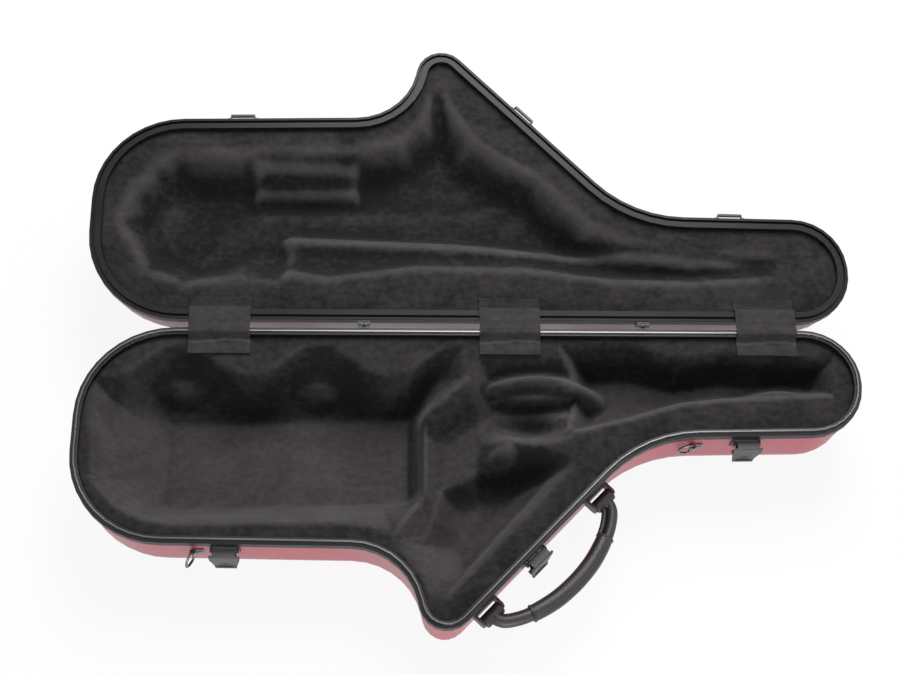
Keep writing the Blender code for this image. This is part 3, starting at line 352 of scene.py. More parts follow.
# The velour materials move from their dark colour to their light one by a mask that is partly painted light
# and shade.
velour, _ = finish_material(
    "velour", pile, ((0.010, 0.009, 0.0095), (0.082, 0.075, 0.078)), (0.8, 1.0), (0.5, 0.0007),
    {"Patch Scale": 17.0, "Crush": 0.09}, painted_light=True, **PILE_SHEEN)
flap_velour, _ = finish_material(
    "flap_velour", pile, ((0.016, 0.015, 0.015), (0.076, 0.070, 0.072)), (0.8, 1.0), (0.5, 0.0007),
    {"Patch Scale": 30.0, "Crush": 0.12}, painted_light=True, **PILE_SHEEN)
base_metal, _ = finish_material(
    "rim_metal", lines, ((0.016, 0.015, 0.016), (0.036, 0.034, 0.035)), (0.3, 0.45), (0.5, 0.0004),
    {"Pitch": 0.0025}, Metallic=0.85)
# A lighter copy of the rim metal for the top of the tongue: a painted highlight.
tongue_painted_highlight, _ = finish_material(
    "rim_metal_painted_highlight", lines, ((0.10, 0.098, 0.10), (0.17, 0.167, 0.17)), (0.24, 0.34), (0.3, 0.0002),
    {"Pitch": 0.0025}, Metallic=1.0)
# A darker copy of the rim metal for the lid's rim: painted shade.
lid_metal_shaded, lid_turn = finish_material(
    "rim_metal_lid_painted_shade", lines, ((0.010, 0.0095, 0.010), (0.022, 0.021, 0.022)), (0.3, 0.45), (0.5, 0.0004),
    {"Pitch": 0.0025}, Metallic=0.85)
lid_turn.inputs["Rotation"].default_value = (-LID_TILT, 0.0, 0.0)
latch_black, _ = finish_material(
    "latch_black", grain, ((0.036, 0.032, 0.034), (0.056, 0.050, 0.052)), (0.38, 0.5), (0.25, 0.0003),
    {"Scale": 1600.0}, Specular_IOR_Level=0.5)
steel, _ = finish_material(
    "steel", grain, ((0.45, 0.45, 0.46), (0.60, 0.60, 0.61)), (0.2, 0.32), (0.05, 0.0001),
    {"Scale": 2500.0}, Metallic=1.0)
gunmetal, _ = finish_material(
    "gunmetal", grain, ((0.13, 0.13, 0.14), (0.22, 0.22, 0.23)), (0.2, 0.3), (0.05, 0.0001),
    {"Scale": 2500.0}, Metallic=1.0)
leather, _ = finish_material(
    "leather", grain, ((0.012, 0.0105, 0.0105), (0.026, 0.023, 0.0225)), (0.36, 0.48), (0.4, 0.0003),
    {"Scale": 900.0}, Specular_IOR_Level=0.5, Coat_Weight=0.1, Coat_Roughness=0.35)
thread, _ = finish_material(
    "thread", pile, ((0.02, 0.02, 0.02), (0.05, 0.05, 0.05)), (0.7, 0.9), (0.4, 0.0002),
    {"Patch Scale": 400.0, "Crush": 0.0})
print("materials:", len(bpy.data.materials))

# %% [markdown]
# ## The velour liners
#
# The liners are moulded foam with velour glued on. Their form is a landscape: a flat floor for the body of
# the instrument, a hollow for its bell, a channel for its neck and rests between them. A landscape is best
# written as a height for every place, so each pocket is a smooth step at the distance from its edge. The
# CAD liner carries the same hollows coarsely. Here its mesh is merged, divided until the cells are a few
# millimetres wide, and each point of its top is moved to the height that the finer functions give. Lengths
# in this section are millimetres, as in the CAD model, and heights are counted from the plane of the rim.

# %% The CAD model's frame and simple steps
PLATEAU = 6.0
POCKET_SLOPE = 20.0
FLOOR_DEEP = 75.0
LID_FOAM_DEEP = 50.0
SHIFT = (-0.3846, 0.4343)
BASE_RIM_HIGH = 97.0
HINGE_HIGH = 97.2
BRINK_SOFT = 0.55
TINY = 0.001


def unit(dx, dy):
    """A direction in the plane, made one long."""
    length = math.hypot(dx, dy)
    return dx / length, dy / length


def rise(t):
    """Smooth step from 0 to 1."""
    t = np.clip(t, 0.0, 1.0)
    return t * t * (3 - 2 * t)


def inside(x, y, corners):
    """Distance to a polygon's edge, positive inside it."""
    nearest = np.full(np.shape(x), 1e9)
    odd = np.zeros(np.shape(x), dtype=bool)
    for (ax, ay), (bx, by) in zip(corners, corners[1:] + corners[:1]):
        dx, dy = bx - ax, by - ay
        t = np.clip(((x - ax) * dx + (y - ay) * dy) / (dx * dx + dy * dy), 0, 1)
        nearest = np.minimum(nearest, np.hypot(x - ax - t * dx, y - ay - t * dy))
        crosses = (ay > y) != (by > y)
        meet = ax + (y - ay) * dx / (dy or TINY)
        odd ^= crosses & (x < meet)
    return np.where(odd, nearest, -nearest)


def brink(t):
    """A step from 0 to 1 with a firmer edge than a smooth one."""
    return BRINK_SOFT * rise(t) + (1 - BRINK_SOFT) * np.clip(t, 0.0, 1.0)


print("steps from", rise(0.0), "to", rise(1.0))

# %% The base's landscape
BODY_DISH = [
    (-402, -62), (-396, -116), (-390, -174), (-366, -200), (-339, -214), (-306, -220), (-150, -217),
    (-110, -222), (-82, -230), (-50, -196), (-50, -100), (-8, -61), (-8, -10), (-400, -10),
]
BODY_FLOOR = [(-321, -86), (-64, -79), (-65, -174), (-323, -181)]
SCALLOP_MIDDLE = -38.0
SCALLOP_SWING = 19.0
SCALLOP_PITCH = 147.0
SCALLOP_AT = -164.0
RECESS_SHELF = {"y": -60.0, "long": 30.0, "wide": 15.0, "high": 11.0}
RECESS_EASE = 8.0
SADDLE_DISH = [
    (-70, -100), (-10, -62), (4, -30), (118, -28), (142, -62), (128, -112), (46, -129), (72, -186),
    (-36, -300), (-46, -284), (-64, -256), (-84, -236), (-76, -180),
]
SADDLE_DEEP = 34.0
SADDLE_EASE = 42.0
BELL_FIELD = [(-84, -238), (-62, -150), (0, -118), (70, -128), (120, -150), (-20, -350), (-50, -288)]
BELL_EDGE = ((-37.0, -303.0), (73.0, -189.0))
BELL_DEEP = 62.0
BELL_EASE = 62.0
BELL_STEEP = 15.0
NECK_X = (20.0, 116.0, 172.0, 222.0, 270.0, 376.0)
NECK_BACK = (-30.0, -20.0, -20.0, -34.0, -26.0, -33.0)
NECK_FRONT = (-134.0, -117.0, -103.0, -88.0, -83.0, -78.0)
NECK_ENDS = (96.0, 388.0)
NECK_DEEP = (56.0, 40.0)
NECK_EASE = 34.0
NECK_SHELF = {"x": 330.0, "y": -68.0, "long": 46.0, "wide": 15.0, "high": 20.0}
SECOND_HOLLOW = {"x": 62.0, "y": -110.0, "long": 56.0, "wide": 24.0, "high": -30.0}
ISLAND = {"x": 68.0, "y": -66.0, "long": 84.0, "wide": 24.0, "top": 8.0, "level": 0.35}
ISLAND_GROOVE = {"x": 60.0, "y": -73.0, "long": 70.0, "wide": 7.0, "high": -13.0}
NOSE = {"x": 28.0, "y": -146.0, "long": 24.0, "wide": 19.0, "high": 22.0}


def swell(x, y, form):
    """A smooth rise or hollow on an ellipse."""
    away = np.hypot((x - form["x"]) / form["long"], (y - form["y"]) / form["wide"])
    return form["high"] * rise(1 - away)


def body_pocket(x, y):
    """The flat floor for the body: a broad slope at the bow, a scalloped wall along the back."""
    turn = 2 * math.pi * (x - SCALLOP_AT) / SCALLOP_PITCH
    scallop = SCALLOP_MIDDLE + SCALLOP_SWING * np.cos(turn)
    edge = np.clip(np.minimum(inside(x, y, BODY_DISH), scallop - y), 0, None)
    floor = np.clip(-inside(x, y, BODY_FLOOR), 0, None)
    height = -PLATEAU - (FLOOR_DEEP - PLATEAU) * brink(edge / (edge + floor + TINY))
    for x_at in (SCALLOP_AT, SCALLOP_AT - SCALLOP_PITCH):
        height = height + swell(x, y, {"x": x_at, **RECESS_SHELF}) * rise(edge / RECESS_EASE)
    return height


def bell_pocket(x, y):
    """A hollow for the bell, steep at its edge along the slant and easy towards the throat."""
    (ax, ay), (bx, by) = BELL_EDGE
    tx, ty = unit(bx - ax, by - ay)
    across = (y - ay) * tx - (x - ax) * ty
    return -PLATEAU - BELL_DEEP * brink(across / BELL_STEEP) * rise(inside(x, y, BELL_FIELD) / BELL_EASE)


def neck_pocket(x, y):
    """A channel for the neck between two curved walls, deeper at its left end, with a shelf in the back."""
    back = (np.interp(x, NECK_X, NECK_BACK) - y) / POCKET_SLOPE
    front = (y - np.interp(x, NECK_X, NECK_FRONT)) / POCKET_SLOPE
    left = (x - NECK_ENDS[0]) / NECK_EASE
    right = (NECK_ENDS[1] - x) / POCKET_SLOPE
    deep = np.interp(x, NECK_ENDS, NECK_DEEP)
    share = np.minimum.reduce([back, front, left, right])
    return -PLATEAU - deep * brink(share) + swell(x, y, NECK_SHELF) * rise(share)


def base_height(x, y):
    """Height of the base liner's top: the deepest pocket at each place, with an island and a nose in it."""
    saddle = -PLATEAU - SADDLE_DEEP * rise(inside(x, y, SADDLE_DISH) / SADDLE_EASE)
    saddle = saddle + swell(x, y, SECOND_HOLLOW)
    height = np.minimum.reduce([body_pocket(x, y), saddle, bell_pocket(x, y), neck_pocket(x, y)])
    away = np.hypot((x - ISLAND["x"]) / ISLAND["long"], (y - ISLAND["y"]) / ISLAND["wide"])
    island = -ISLAND["top"] - FLOOR_DEEP * rise(away - ISLAND["level"]) + swell(x, y, ISLAND_GROOVE)
    return np.minimum(np.maximum(height, island) + swell(x, y, NOSE), -PLATEAU)


print("floor at", round(float(base_height(-200.0, -130.0)), 1), "mm under the rim")

# %% The lid's landscape
LID_CAVITY = [
    (-384, 120), (-374, 160), (-350, 190), (-323, 204), (-241, 204), (-130, 209), (-79, 221), (-53, 246),
    (-36, 292), (4, 224), (77, 178), (131, 121), (176, 101), (246, 86), (320, 86), (374, 72), (374, 52),
    (243, 40), (159, 41), (59, 53), (-59, 54), (-155, 41), (-252, 55), (-310, 46), (-352, 62),
]
LID_EDGE_EASE = 30.0
LID_SHELF_X = (-222.0, -11.0, 124.0, 323.0)
LID_SHELF_V = (116.0, 108.0, 95.0, 72.0)
LID_SHELF_HIGH = 22.0
LID_SHELF_EASE = 14.0
LID_SHELF_END = -212.0
LID_PAD = {"left": -246.0, "right": -118.0, "low": 158.0, "high": 200.0, "rise": 18.0, "ease": 10.0}
LID_KNOB = {"x": -240.0, "y": 80.0, "long": 44.0, "wide": 24.0, "high": 14.0}
LID_BOW = {"x": -342.0, "y": 140.0, "long": 40.0, "wide": 62.0, "high": 12.0}
LID_WEDGE = [(-34, 282), (14, 222), (78, 180), (66, 176), (30, 194), (-2, 222), (-28, 262)]
LID_WEDGE_HIGH = 16.0
LID_RIDGE = {"below": 7.0, "half": 15.0, "high": 6.0, "ends": (-226.0, 210.0), "fade": (20.0, 90.0)}
LID_CREASE = {"x": (-262.0, -150.0, -11.0, 50.0, 84.0), "v": (152.0, 149.0, 154.0, 166.0, 182.0), "high": 4.0,
              "ease": 9.0, "ends": (-262.0, 110.0), "fade": (40.0, 30.0)}
SOFT_RINGS = ((3.5, 0.0), (7.0, 0.5))
SOFT_AROUND = 8


def between(x, form):
    """1 between the two ends of a form along x, fading to 0 towards each."""
    (start, finish), (fade_in, fade_out) = form["ends"], form["fade"]
    return rise((x - start) / fade_in) * rise((finish - x) / fade_out)


def lid_height(x, v):
    """Height of the lid liner's top: a cavity, with a shelf, ridge, crease, pads and wedge in it."""
    height = -PLATEAU - LID_FOAM_DEEP * brink(inside(x, v, LID_CAVITY) / LID_EDGE_EASE)
    below = np.interp(x, LID_SHELF_X, LID_SHELF_V) - v
    shelf = rise(below / LID_SHELF_EASE + 0.5) * rise((x - LID_SHELF_END) / LID_SHELF_EASE)
    height = height + LID_SHELF_HIGH * shelf
    ridge = between(x, LID_RIDGE) * rise(1 - abs(below - LID_RIDGE["below"]) / LID_RIDGE["half"])
    height = height + LID_RIDGE["high"] * ridge
    under = np.interp(x, LID_CREASE["x"], LID_CREASE["v"]) - v
    lower = rise(under / LID_CREASE["ease"] + 0.5) * between(x, LID_CREASE)
    height = height + LID_CREASE["high"] * lower * rise(inside(x, v, LID_CAVITY) / LID_EDGE_EASE)
    sides = [x - LID_PAD["left"], LID_PAD["right"] - x, v - LID_PAD["low"], LID_PAD["high"] - v]
    height = height + LID_PAD["rise"] * rise(np.minimum.reduce(sides) / LID_PAD["ease"])
    height = height + swell(x, v, LID_KNOB) + swell(x, v, LID_BOW)
    height = height + LID_WEDGE_HIGH * rise(inside(x, v, LID_WEDGE) / LID_PAD["ease"])
    return np.minimum(height, -PLATEAU)


def soft_lid_height(x, v):
    """The lid's height averaged over a disc, as padding under velour rounds every edge."""
    total = lid_height(x, v)
    for away, first in SOFT_RINGS:
        for k in range(SOFT_AROUND):
            turn = 2 * math.pi * (k + first) / SOFT_AROUND
            total = total + lid_height(x + away * math.cos(turn), v + away * math.sin(turn))
    return np.minimum(total / (1 + len(SOFT_RINGS) * SOFT_AROUND), -PLATEAU)


print("lid foam at", round(float(soft_lid_height(-200.0, 140.0)), 1), "mm under the rim")

# %% Helpers that read and make meshes
MERGE = 0.00001


def merged_copy(node):
    """A bmesh of a CAD node with its loose triangles joined again, in metres."""
    bm = bmesh.new()
    bm.from_mesh(frame["nodes"][node].data)
    bmesh.ops.remove_doubles(bm, verts=bm.verts[:], dist=MERGE)
    return bm


def new_piece(name, bm, look, body, angle=35.0, stands_for=()):
    """An object from a bmesh in metres, shaded smooth up to an angle, riding on a CAD body."""
    mesh = bpy.data.meshes.new(name)
    bm.to_mesh(mesh)
    bm.free()
    mesh.materials.append(look)
    mesh.shade_smooth()
    mesh.set_sharp_from_angle(angle=math.radians(angle))
    obj = bpy.data.objects.new(name, mesh)
    bpy.context.scene.collection.objects.link(obj)
    if body:
        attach(obj, body)
    if stands_for:
        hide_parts(*stands_for)
    return obj


BODIES = frame["record"]["behaviour"]["bodies"]
NODE_BODY = {node: body for body, nodes in BODIES.items() for node in nodes}
SHIFT_X = SHIFT[0] / 1000
SHIFT_Y = SHIFT[1] / 1000
RIM_Z = BASE_RIM_HIGH / 1000
LID_RIM_LOWER = (BASE_RIM_HIGH - HINGE_HIGH) / 1000
BASE_PLACE = Matrix.Translation((SHIFT_X, SHIFT_Y, RIM_Z))
LID_TURN = Matrix.Rotation(LID_TILT, 4, "X")
LID_PLACE = Matrix.Translation((SHIFT_X, SHIFT_Y, HINGE_HIGH / 1000)) @ LID_TURN
LID_PLACE = LID_PLACE @ Matrix.Translation((0, 0, LID_RIM_LOWER))
print("bodies of", len(NODE_BODY), "nodes")

# %% [markdown]
# ## Painted light and shade on the pile
#
# Velour here is made pale or dark by painted light and shade that follows the form. A slope is painted
# lighter or darker by which way it faces, a bulge gets a painted highlight and a hollow painted shade, and
# the depth adds its own painted share. The slope and the bulge come from heights a few millimetres to each
# side. The result is written on every point of the liner, where the velour's material reads it.

# %% Work out the painted light and shade of the pile
PAINTED_LIGHT_STEP = 5.0
# The side that a slope is painted lighter towards, and the weights of painted light and shade on each liner.
PAINTED_LIGHT_SIDE = (0.45, 0.78)
BASE_PAINTED_LIGHT = {"flat": 0.26, "slope_light": 0.58, "bulge_highlight": 1.7, "deep": 0.50}
LID_PAINTED_LIGHT = {"flat": 0.23, "slope_light": -0.16, "bulge_highlight": 3.6, "deep": -0.12}
BULGE_LIMITS = (-0.15, 0.2)
PAINTED_LIGHT_LIMITS = (0.05, 1.1)


def painted_pile_light(height, x, y, pile_light):
    """Painted light and shade of the pile: by which way a slope faces, a highlight over a bulge, shade in a
    hollow.
    """
    here = height(x, y)
    right, left = height(x + PAINTED_LIGHT_STEP, y), height(x - PAINTED_LIGHT_STEP, y)
    back, front = height(x, y + PAINTED_LIGHT_STEP), height(x, y - PAINTED_LIGHT_STEP)
    slope_x, slope_y = (right - left) / (2 * PAINTED_LIGHT_STEP), (back - front) / (2 * PAINTED_LIGHT_STEP)
    steep = np.sqrt(1 + slope_x ** 2 + slope_y ** 2)
    # Painted light: a slope is lighter or darker by which way it faces.
    facing_light = -(slope_x * PAINTED_LIGHT_SIDE[0] + slope_y * PAINTED_LIGHT_SIDE[1]) / steep
    # Painted highlight over a bulge and painted shade in a hollow.
    bulge_highlight = np.clip((4 * here - right - left - back - front) / PAINTED_LIGHT_STEP ** 2, *BULGE_LIMITS)
    # Painted light by depth: lighter deep in the base, darker deep in the lid.
    deep = np.clip((-here - PLATEAU) / FLOOR_DEEP, 0, 1)
    shown = pile_light["flat"] + pile_light["slope_light"] * facing_light + pile_light["bulge_highlight"] * bulge_highlight + pile_light["deep"] * deep
    return np.clip(shown, *PAINTED_LIGHT_LIMITS)


# The painted light on the base's floor.
floor_painted_light = painted_pile_light(base_height, -200.0, -130.0, BASE_PAINTED_LIGHT)
print("the pile on the base's floor lies at", round(float(floor_painted_light), 2))

# %% Shape a fine liner from the CAD one
LINER_CUTS = 4
LINER_EASED = 3
TOP_UP = 0.05
FREE_UP = 0.02
SIDE_PAINTED_LIGHT = 0.5


def fine_liner(node, name, height, place, pile_light_weights):
    """A padded velour piece from a CAD liner, its top divided, lifted to a height function and smoothed."""
    bm = merged_copy(node)
    pile_light = bm.verts.layers.float.new("painted_light")
    bmesh.ops.transform(bm, matrix=place.inverted(), verts=bm.verts[:])
    bm.normal_update()
    top = [f for f in bm.faces if f.normal.z > TOP_UP]
    edges = list({e for f in top for e in f.edges})
    bmesh.ops.subdivide_edges(bm, edges=edges, cuts=LINER_CUTS, use_grid_fill=True)
    bm.normal_update()
    free = [v for v in bm.verts if v.link_faces and all(f.normal.z > FREE_UP for f in v.link_faces)]
    xs = np.array([v.co.x for v in free]) * 1000
    ys = np.array([v.co.y for v in free]) * 1000
    for vert, z in zip(free, height(xs, ys)):
        vert.co.z = z / 1000
    for _ in range(LINER_EASED):
        bmesh.ops.smooth_vert(bm, verts=free, factor=0.5, use_axis_z=True)
    # The sides get a middle value and the top gets painted light and shade.
    for vert in bm.verts:
        vert[pile_light] = SIDE_PAINTED_LIGHT
    for vert, value in zip(free, painted_pile_light(height, xs, ys, pile_light_weights)):
        vert[pile_light] = value
    bmesh.ops.transform(bm, matrix=place, verts=bm.verts[:])
    obj = new_piece(name, bm, velour, NODE_BODY[node], 70.0, (node,))
    print(name, len(obj.data.polygons), "faces")


fine_liner("base_liner", "base_velour", base_height, BASE_PLACE, BASE_PAINTED_LIGHT)
fine_liner("lid_liner", "lid_velour", soft_lid_height, LID_PLACE, LID_PAINTED_LIGHT)

# %% [markdown]
# ## Shells and rims
#
# The two red shells are moulded plastic and their form is already right in the CAD model. Only its loose
# triangles have to be joined so that light runs smoothly over them. The same goes for the two rims, which
# are drawn metal profiles: their edges get a small bevel, because no drawn edge is knife sharp, and a
# bevelled edge catches a thin line of light. The top of the base rim's tongue gets a lighter metal, a
# painted highlight along the rim. The lid's rim gets a darker copy of the same metal, a painted shade.

# %% Finish a CAD piece
FLAT_WITHIN = math.radians(0.4)
BEVEL_OVER = math.radians(40)


def finished_copy(node, look, bevel=0.0, angle=35.0, rounded=0):
    """A smooth stand-in for a CAD node: merged, flat faces joined, and its edges bevelled."""
    bm = merged_copy(node)
    bmesh.ops.dissolve_limit(bm, angle_limit=FLAT_WITHIN, verts=bm.verts[:], edges=bm.edges[:])
    obj = new_piece(node + "_piece", bm, look, NODE_BODY[node], angle, (node,))
    if bevel:
        edge = obj.modifiers.new("bevel", "BEVEL")
        edge.width = bevel
        edge.segments = 2
        edge.limit_method = "ANGLE"
        edge.angle_limit = BEVEL_OVER
        edge.harden_normals = True
    if rounded:
        smooth = obj.modifiers.new("round", "SUBSURF")
        smooth.levels = smooth.render_levels = rounded
    return obj


print("flat within", round(math.degrees(FLAT_WITHIN), 1), "degrees")

# %% Finish the shells and rims
RIM_BEVEL = 0.0003
TONGUE_OVER = 0.0005
for node in ("base_shell", "lid_shell"):
    finished_copy(node, shell_red, angle=40.0)
base_band = finished_copy("base_rim", base_metal, RIM_BEVEL)
# The tongue's top faces get the lighter metal, a painted highlight.
base_band.data.materials.append(tongue_painted_highlight)
tongue_faces = [f for f in base_band.data.polygons if f.center.z > RIM_Z + TONGUE_OVER]
for face in tongue_faces:
    face.material_index = 1
# The lid's rim gets the darker copy of the metal, a painted shade.
finished_copy("lid_rim", lid_metal_shaded, RIM_BEVEL)
print("polished faces on the tongue:", len(tongue_faces))

# %% [markdown]
# ## Hardware
#
# Latches, keepers, hinges and handle brackets are black moulded or painted parts. A quarter of a millimetre
# of bevel makes them read as real ones. The pins and links are plated steel, and the strap rings are darker
# gunmetal. The rings are round all over, so they are subdivided once and get no bevel.

# %% Finish the hardware
BLACK_BEVEL = 0.00025
STEEL_BEVEL = 0.0001
TAB_BEVEL = 0.00015
SIDES = ("left", "right")
LATCHES = ("left", "slant", "right")
BLACK = [f"keeper_{side}" for side in LATCHES] + ["handle_bracket_lower", "handle_bracket_upper"]
METAL = [f"hinge_{side}_pin" for side in SIDES]
for side in SIDES:
    BLACK += [f"hinge_{side}_base_leaf", f"hinge_{side}_lid_leaf"]
for side in LATCHES:
    BLACK += [f"latch_{side}_housing", f"latch_{side}_lever"]
    METAL += [f"latch_{side}_housing_pin", f"latch_{side}_lever_pin", f"latch_{side}_link"]
for node in BLACK:
    finished_copy(node, latch_black, BLACK_BEVEL)
for node in METAL:
    finished_copy(node, steel, STEEL_BEVEL)
for side in SIDES:
    finished_copy(f"ring_tab_{side}", gunmetal, TAB_BEVEL)
    finished_copy(f"d_ring_{side}", gunmetal, angle=180.0, rounded=1)
print("hardware pieces:", len(BLACK) + len(METAL) + 2 * len(SIDES))

# %% [markdown]
# ## Frames for small parts
#
# Rivets, ribs and seams are drawn flat and then laid on the piece that carries them. A latch turns about an
# axis that the CAD record gives, so the axis and the upright make the frame of its lever: X along the wall,
# -Y outward. Lengths in these small parts are metres.

# %% Frames on the hinge axes
def joint_frame(name):
    """A frame at a joint, X along the wall and -Y away from it."""
    joint = next(j for j in frame["record"]["behaviour"]["joints"] if j["name"] == name)
    along = -Vector(joint["axis"]).normalized()
    up = Vector((0, 0, 1))
    turn = Matrix((along, up.cross(along), up)).transposed()
    return Matrix.Translation(joint["pos_m"]) @ turn.to_4x4()


LEVER_FRAMES = {side: joint_frame(f"latch_{side}_lever_turn") for side in LATCHES}
HOUSING_FRAMES = {side: joint_frame(f"latch_{side}_link_turn") for side in LATCHES}
print("latches at x", {side: round(at.translation.x, 3) for side, at in LEVER_FRAMES.items()})

# %% Rivet heads and bars
DOME_SIDES = 20


def dome(bm, radius, high, place):
    """A rivet's head: a sphere flattened, half of it sunk in the piece below."""
    made = bmesh.ops.create_uvsphere(bm, u_segments=DOME_SIDES, v_segments=8, radius=radius)["verts"]
    flat = Matrix.Diagonal((1.0, 1.0, high / radius, 1.0))
    bmesh.ops.transform(bm, matrix=place @ Matrix.Rotation(math.pi / 2, 4, "X") @ flat, verts=made)


def bar(bm, size, place, round_off):
    """A small block with rounded edges."""
    made = bmesh.ops.create_cube(bm, size=1.0)["verts"]
    bmesh.ops.transform(bm, matrix=place @ Matrix.Diagonal((*size, 1.0)), verts=made)
    edges = list({e for v in made for e in v.link_edges})
    bmesh.ops.bevel(bm, geom=edges, offset=round_off, segments=2, profile=0.5, affect="EDGES", material=-1)


print("a rivet's head has", DOME_SIDES, "sides")

# %% [markdown]
# ## Details of the latches
#
# Each lever has a round eye near its lower end. Its raised edge is a small circle spun once round, which
# makes a ring of even section in one operation. An arc of short bars lies over the eye, and two grip ribs
# cross the lever's tip. The housing behind it has two ribs across, two along and a pair of rivets.

# %% Eyes, arcs and grip ribs
LEVER_FACE = -0.0038
EYE_DOWN = -0.0095
EYE_R = 0.0016
EYE_EDGE_R = 0.00035
EYE_DARK = {"radius": 0.0010, "high": 0.0003}
ARC_R = 0.0046
ARC_BARS = 9
ARC_FROM = -60
ARC_STEP = 15
ARC_BAR = (0.0014, 0.0005, 0.0006)
GRIP_RIB = (0.0150, 0.0007, 0.0007)
GRIP_RIB_OUT = 0.0006
GRIP_RIB_DOWN = (-0.0140, -0.0158)
for side, at in LEVER_FRAMES.items():
    handle = f"latch_{side}_handle"
    bm = bmesh.new()
    ring = bmesh.ops.create_circle(bm, segments=10, radius=EYE_EDGE_R)["verts"]
    bmesh.ops.translate(bm, verts=ring, vec=(EYE_R, 0, 0))
    bmesh.ops.spin(bm, geom=bm.edges[:], cent=(0, 0, 0), axis=(0, 1, 0), dvec=(0, 0, 0), angle=2 * math.pi,
                   steps=28, use_merge=True)
    bmesh.ops.remove_doubles(bm, verts=bm.verts[:], dist=MERGE)
    eye = at @ Matrix.Translation((0, LEVER_FACE, EYE_DOWN))
    bmesh.ops.transform(bm, matrix=eye, verts=bm.verts[:])
    bmesh.ops.recalc_face_normals(bm, faces=bm.faces[:])
    new_piece(f"latch_{side}_eye", bm, latch_black, handle, 60.0)
    bm = bmesh.new()
    for k in range(ARC_BARS):
        swing = math.radians(ARC_FROM + ARC_STEP * k)
        spot = (ARC_R * math.sin(swing), LEVER_FACE, EYE_DOWN + ARC_R * math.cos(swing))
        bar(bm, ARC_BAR, at @ Matrix.Translation(spot) @ Matrix.Rotation(swing, 4, "Y"), 0.0001)
    for down in GRIP_RIB_DOWN:
        bar(bm, GRIP_RIB, at @ Matrix.Translation((0, LEVER_FACE - GRIP_RIB_OUT, down)), 0.0002)
    new_piece(f"latch_{side}_relief", bm, latch_black, handle)
    bm = bmesh.new()
    dome(bm, place=eye, **EYE_DARK)
    new_piece(f"latch_{side}_eye_dark", bm, leather, handle, 60.0)
print("levers with an eye:", len(LEVER_FRAMES))

# %% Ribs and rivets of the housings
RIB_ACROSS = {"size": (0.0200, 0.0008, 0.0010), "y": 0.0028, "z": (-0.0150, -0.0102)}
RIB_ALONG = {"size": (0.0012, 0.0010, 0.0100), "x": (-0.0120, 0.0120), "y": 0.0027, "z": -0.0085}
HOUSING_RIVET = {"radius": 0.0018, "high": 0.0007}
RIVET_X = (-0.0060, 0.0060)
RIVET_YZ = (0.0023, -0.0080)
for side, at in HOUSING_FRAMES.items():
    bm = bmesh.new()
    for z in RIB_ACROSS["z"]:
        bar(bm, RIB_ACROSS["size"], at @ Matrix.Translation((0, RIB_ACROSS["y"], z)), 0.0002)
    for x in RIB_ALONG["x"]:
        bar(bm, RIB_ALONG["size"], at @ Matrix.Translation((x, RIB_ALONG["y"], RIB_ALONG["z"])), 0.0002)
    new_piece(f"latch_{side}_ribs", bm, latch_black, "base")
    bm = bmesh.new()
    for x in RIVET_X:
        dome(bm, place=at @ Matrix.Translation((x, *RIVET_YZ)), **HOUSING_RIVET)
    new_piece(f"latch_{side}_rivets", bm, steel, "base", 60.0)
print("housings with ribs and rivets:", len(HOUSING_FRAMES))

# %% Rivets of the hinge leaves
HINGE_X = (-0.1163, 0.1844)
HINGE_RIVET = {"radius": 0.0013, "high": 0.0006}
HINGE_RIVET_APART = (-0.0032, 0.0032)
HINGE_RIVET_OUT = 0.00325
HINGE_RIVET_DOWN = -0.0115
for side, x in zip(SIDES, HINGE_X):
    for end, place, back, turn in (("lid", LID_PLACE, 1, 0.0), ("base", BASE_PLACE, -1, math.pi)):
        bm = bmesh.new()
        for apart in HINGE_RIVET_APART:
            spot = (x - SHIFT_X + apart, back * HINGE_RIVET_OUT, HINGE_RIVET_DOWN)
            facing = place @ Matrix.Translation(spot) @ Matrix.Rotation(turn, 4, "Z")
            dome(bm, place=facing, **HINGE_RIVET)
        new_piece(f"hinge_{side}_{end}_rivets", bm, steel, end, 60.0)
print("hinges with rivets:", len(HINGE_X))

# %% [markdown]
# ## The handle
#
# The handle is leather sewn round a core. Its grip is a bowed sleeve with a seam, and at each end a strap
# goes round the bracket's bar and comes back as two rolled strands. A rolled strand is a circle carried
# along a path: the circle is extruded from station to station and turned to face along the path each time.
# The CAD straps are plain plates, so new pieces take their place.

# %% Carry a circle along a path
def station(points, i):
    """A frame at a point of a path, Z along it and X held level."""
    along = (points[min(i + 1, len(points) - 1)] - points[max(i - 1, 0)]).normalized()
    side = along.cross(Vector((0, 0, 1))).normalized()
    turn = Matrix((side, along.cross(side), along)).transposed()
    return Matrix.Translation(points[i]) @ turn.to_4x4()


def swept(bm, points, radii, sides):
    """A tube along an open path with a radius at each point, closed by flat ends."""
    places = [station(points, i) @ Matrix.Diagonal((r, r, 1.0, 1.0)) for i, r in enumerate(radii)]
    ring = bmesh.ops.create_circle(bm, segments=sides, radius=1.0, cap_ends=True)["verts"]
    bmesh.ops.transform(bm, matrix=places[0], verts=ring)
    edges = list({e for v in ring for e in v.link_edges})
    for last, now in zip(places, places[1:]):
        made = bmesh.ops.extrude_edge_only(bm, edges=edges)["geom"]
        verts = [g for g in made if isinstance(g, bmesh.types.BMVert)]
        edges = [g for g in made if isinstance(g, bmesh.types.BMEdge)]
        bmesh.ops.transform(bm, matrix=now @ last.inverted(), verts=verts)
    bmesh.ops.contextual_create(bm, geom=edges)


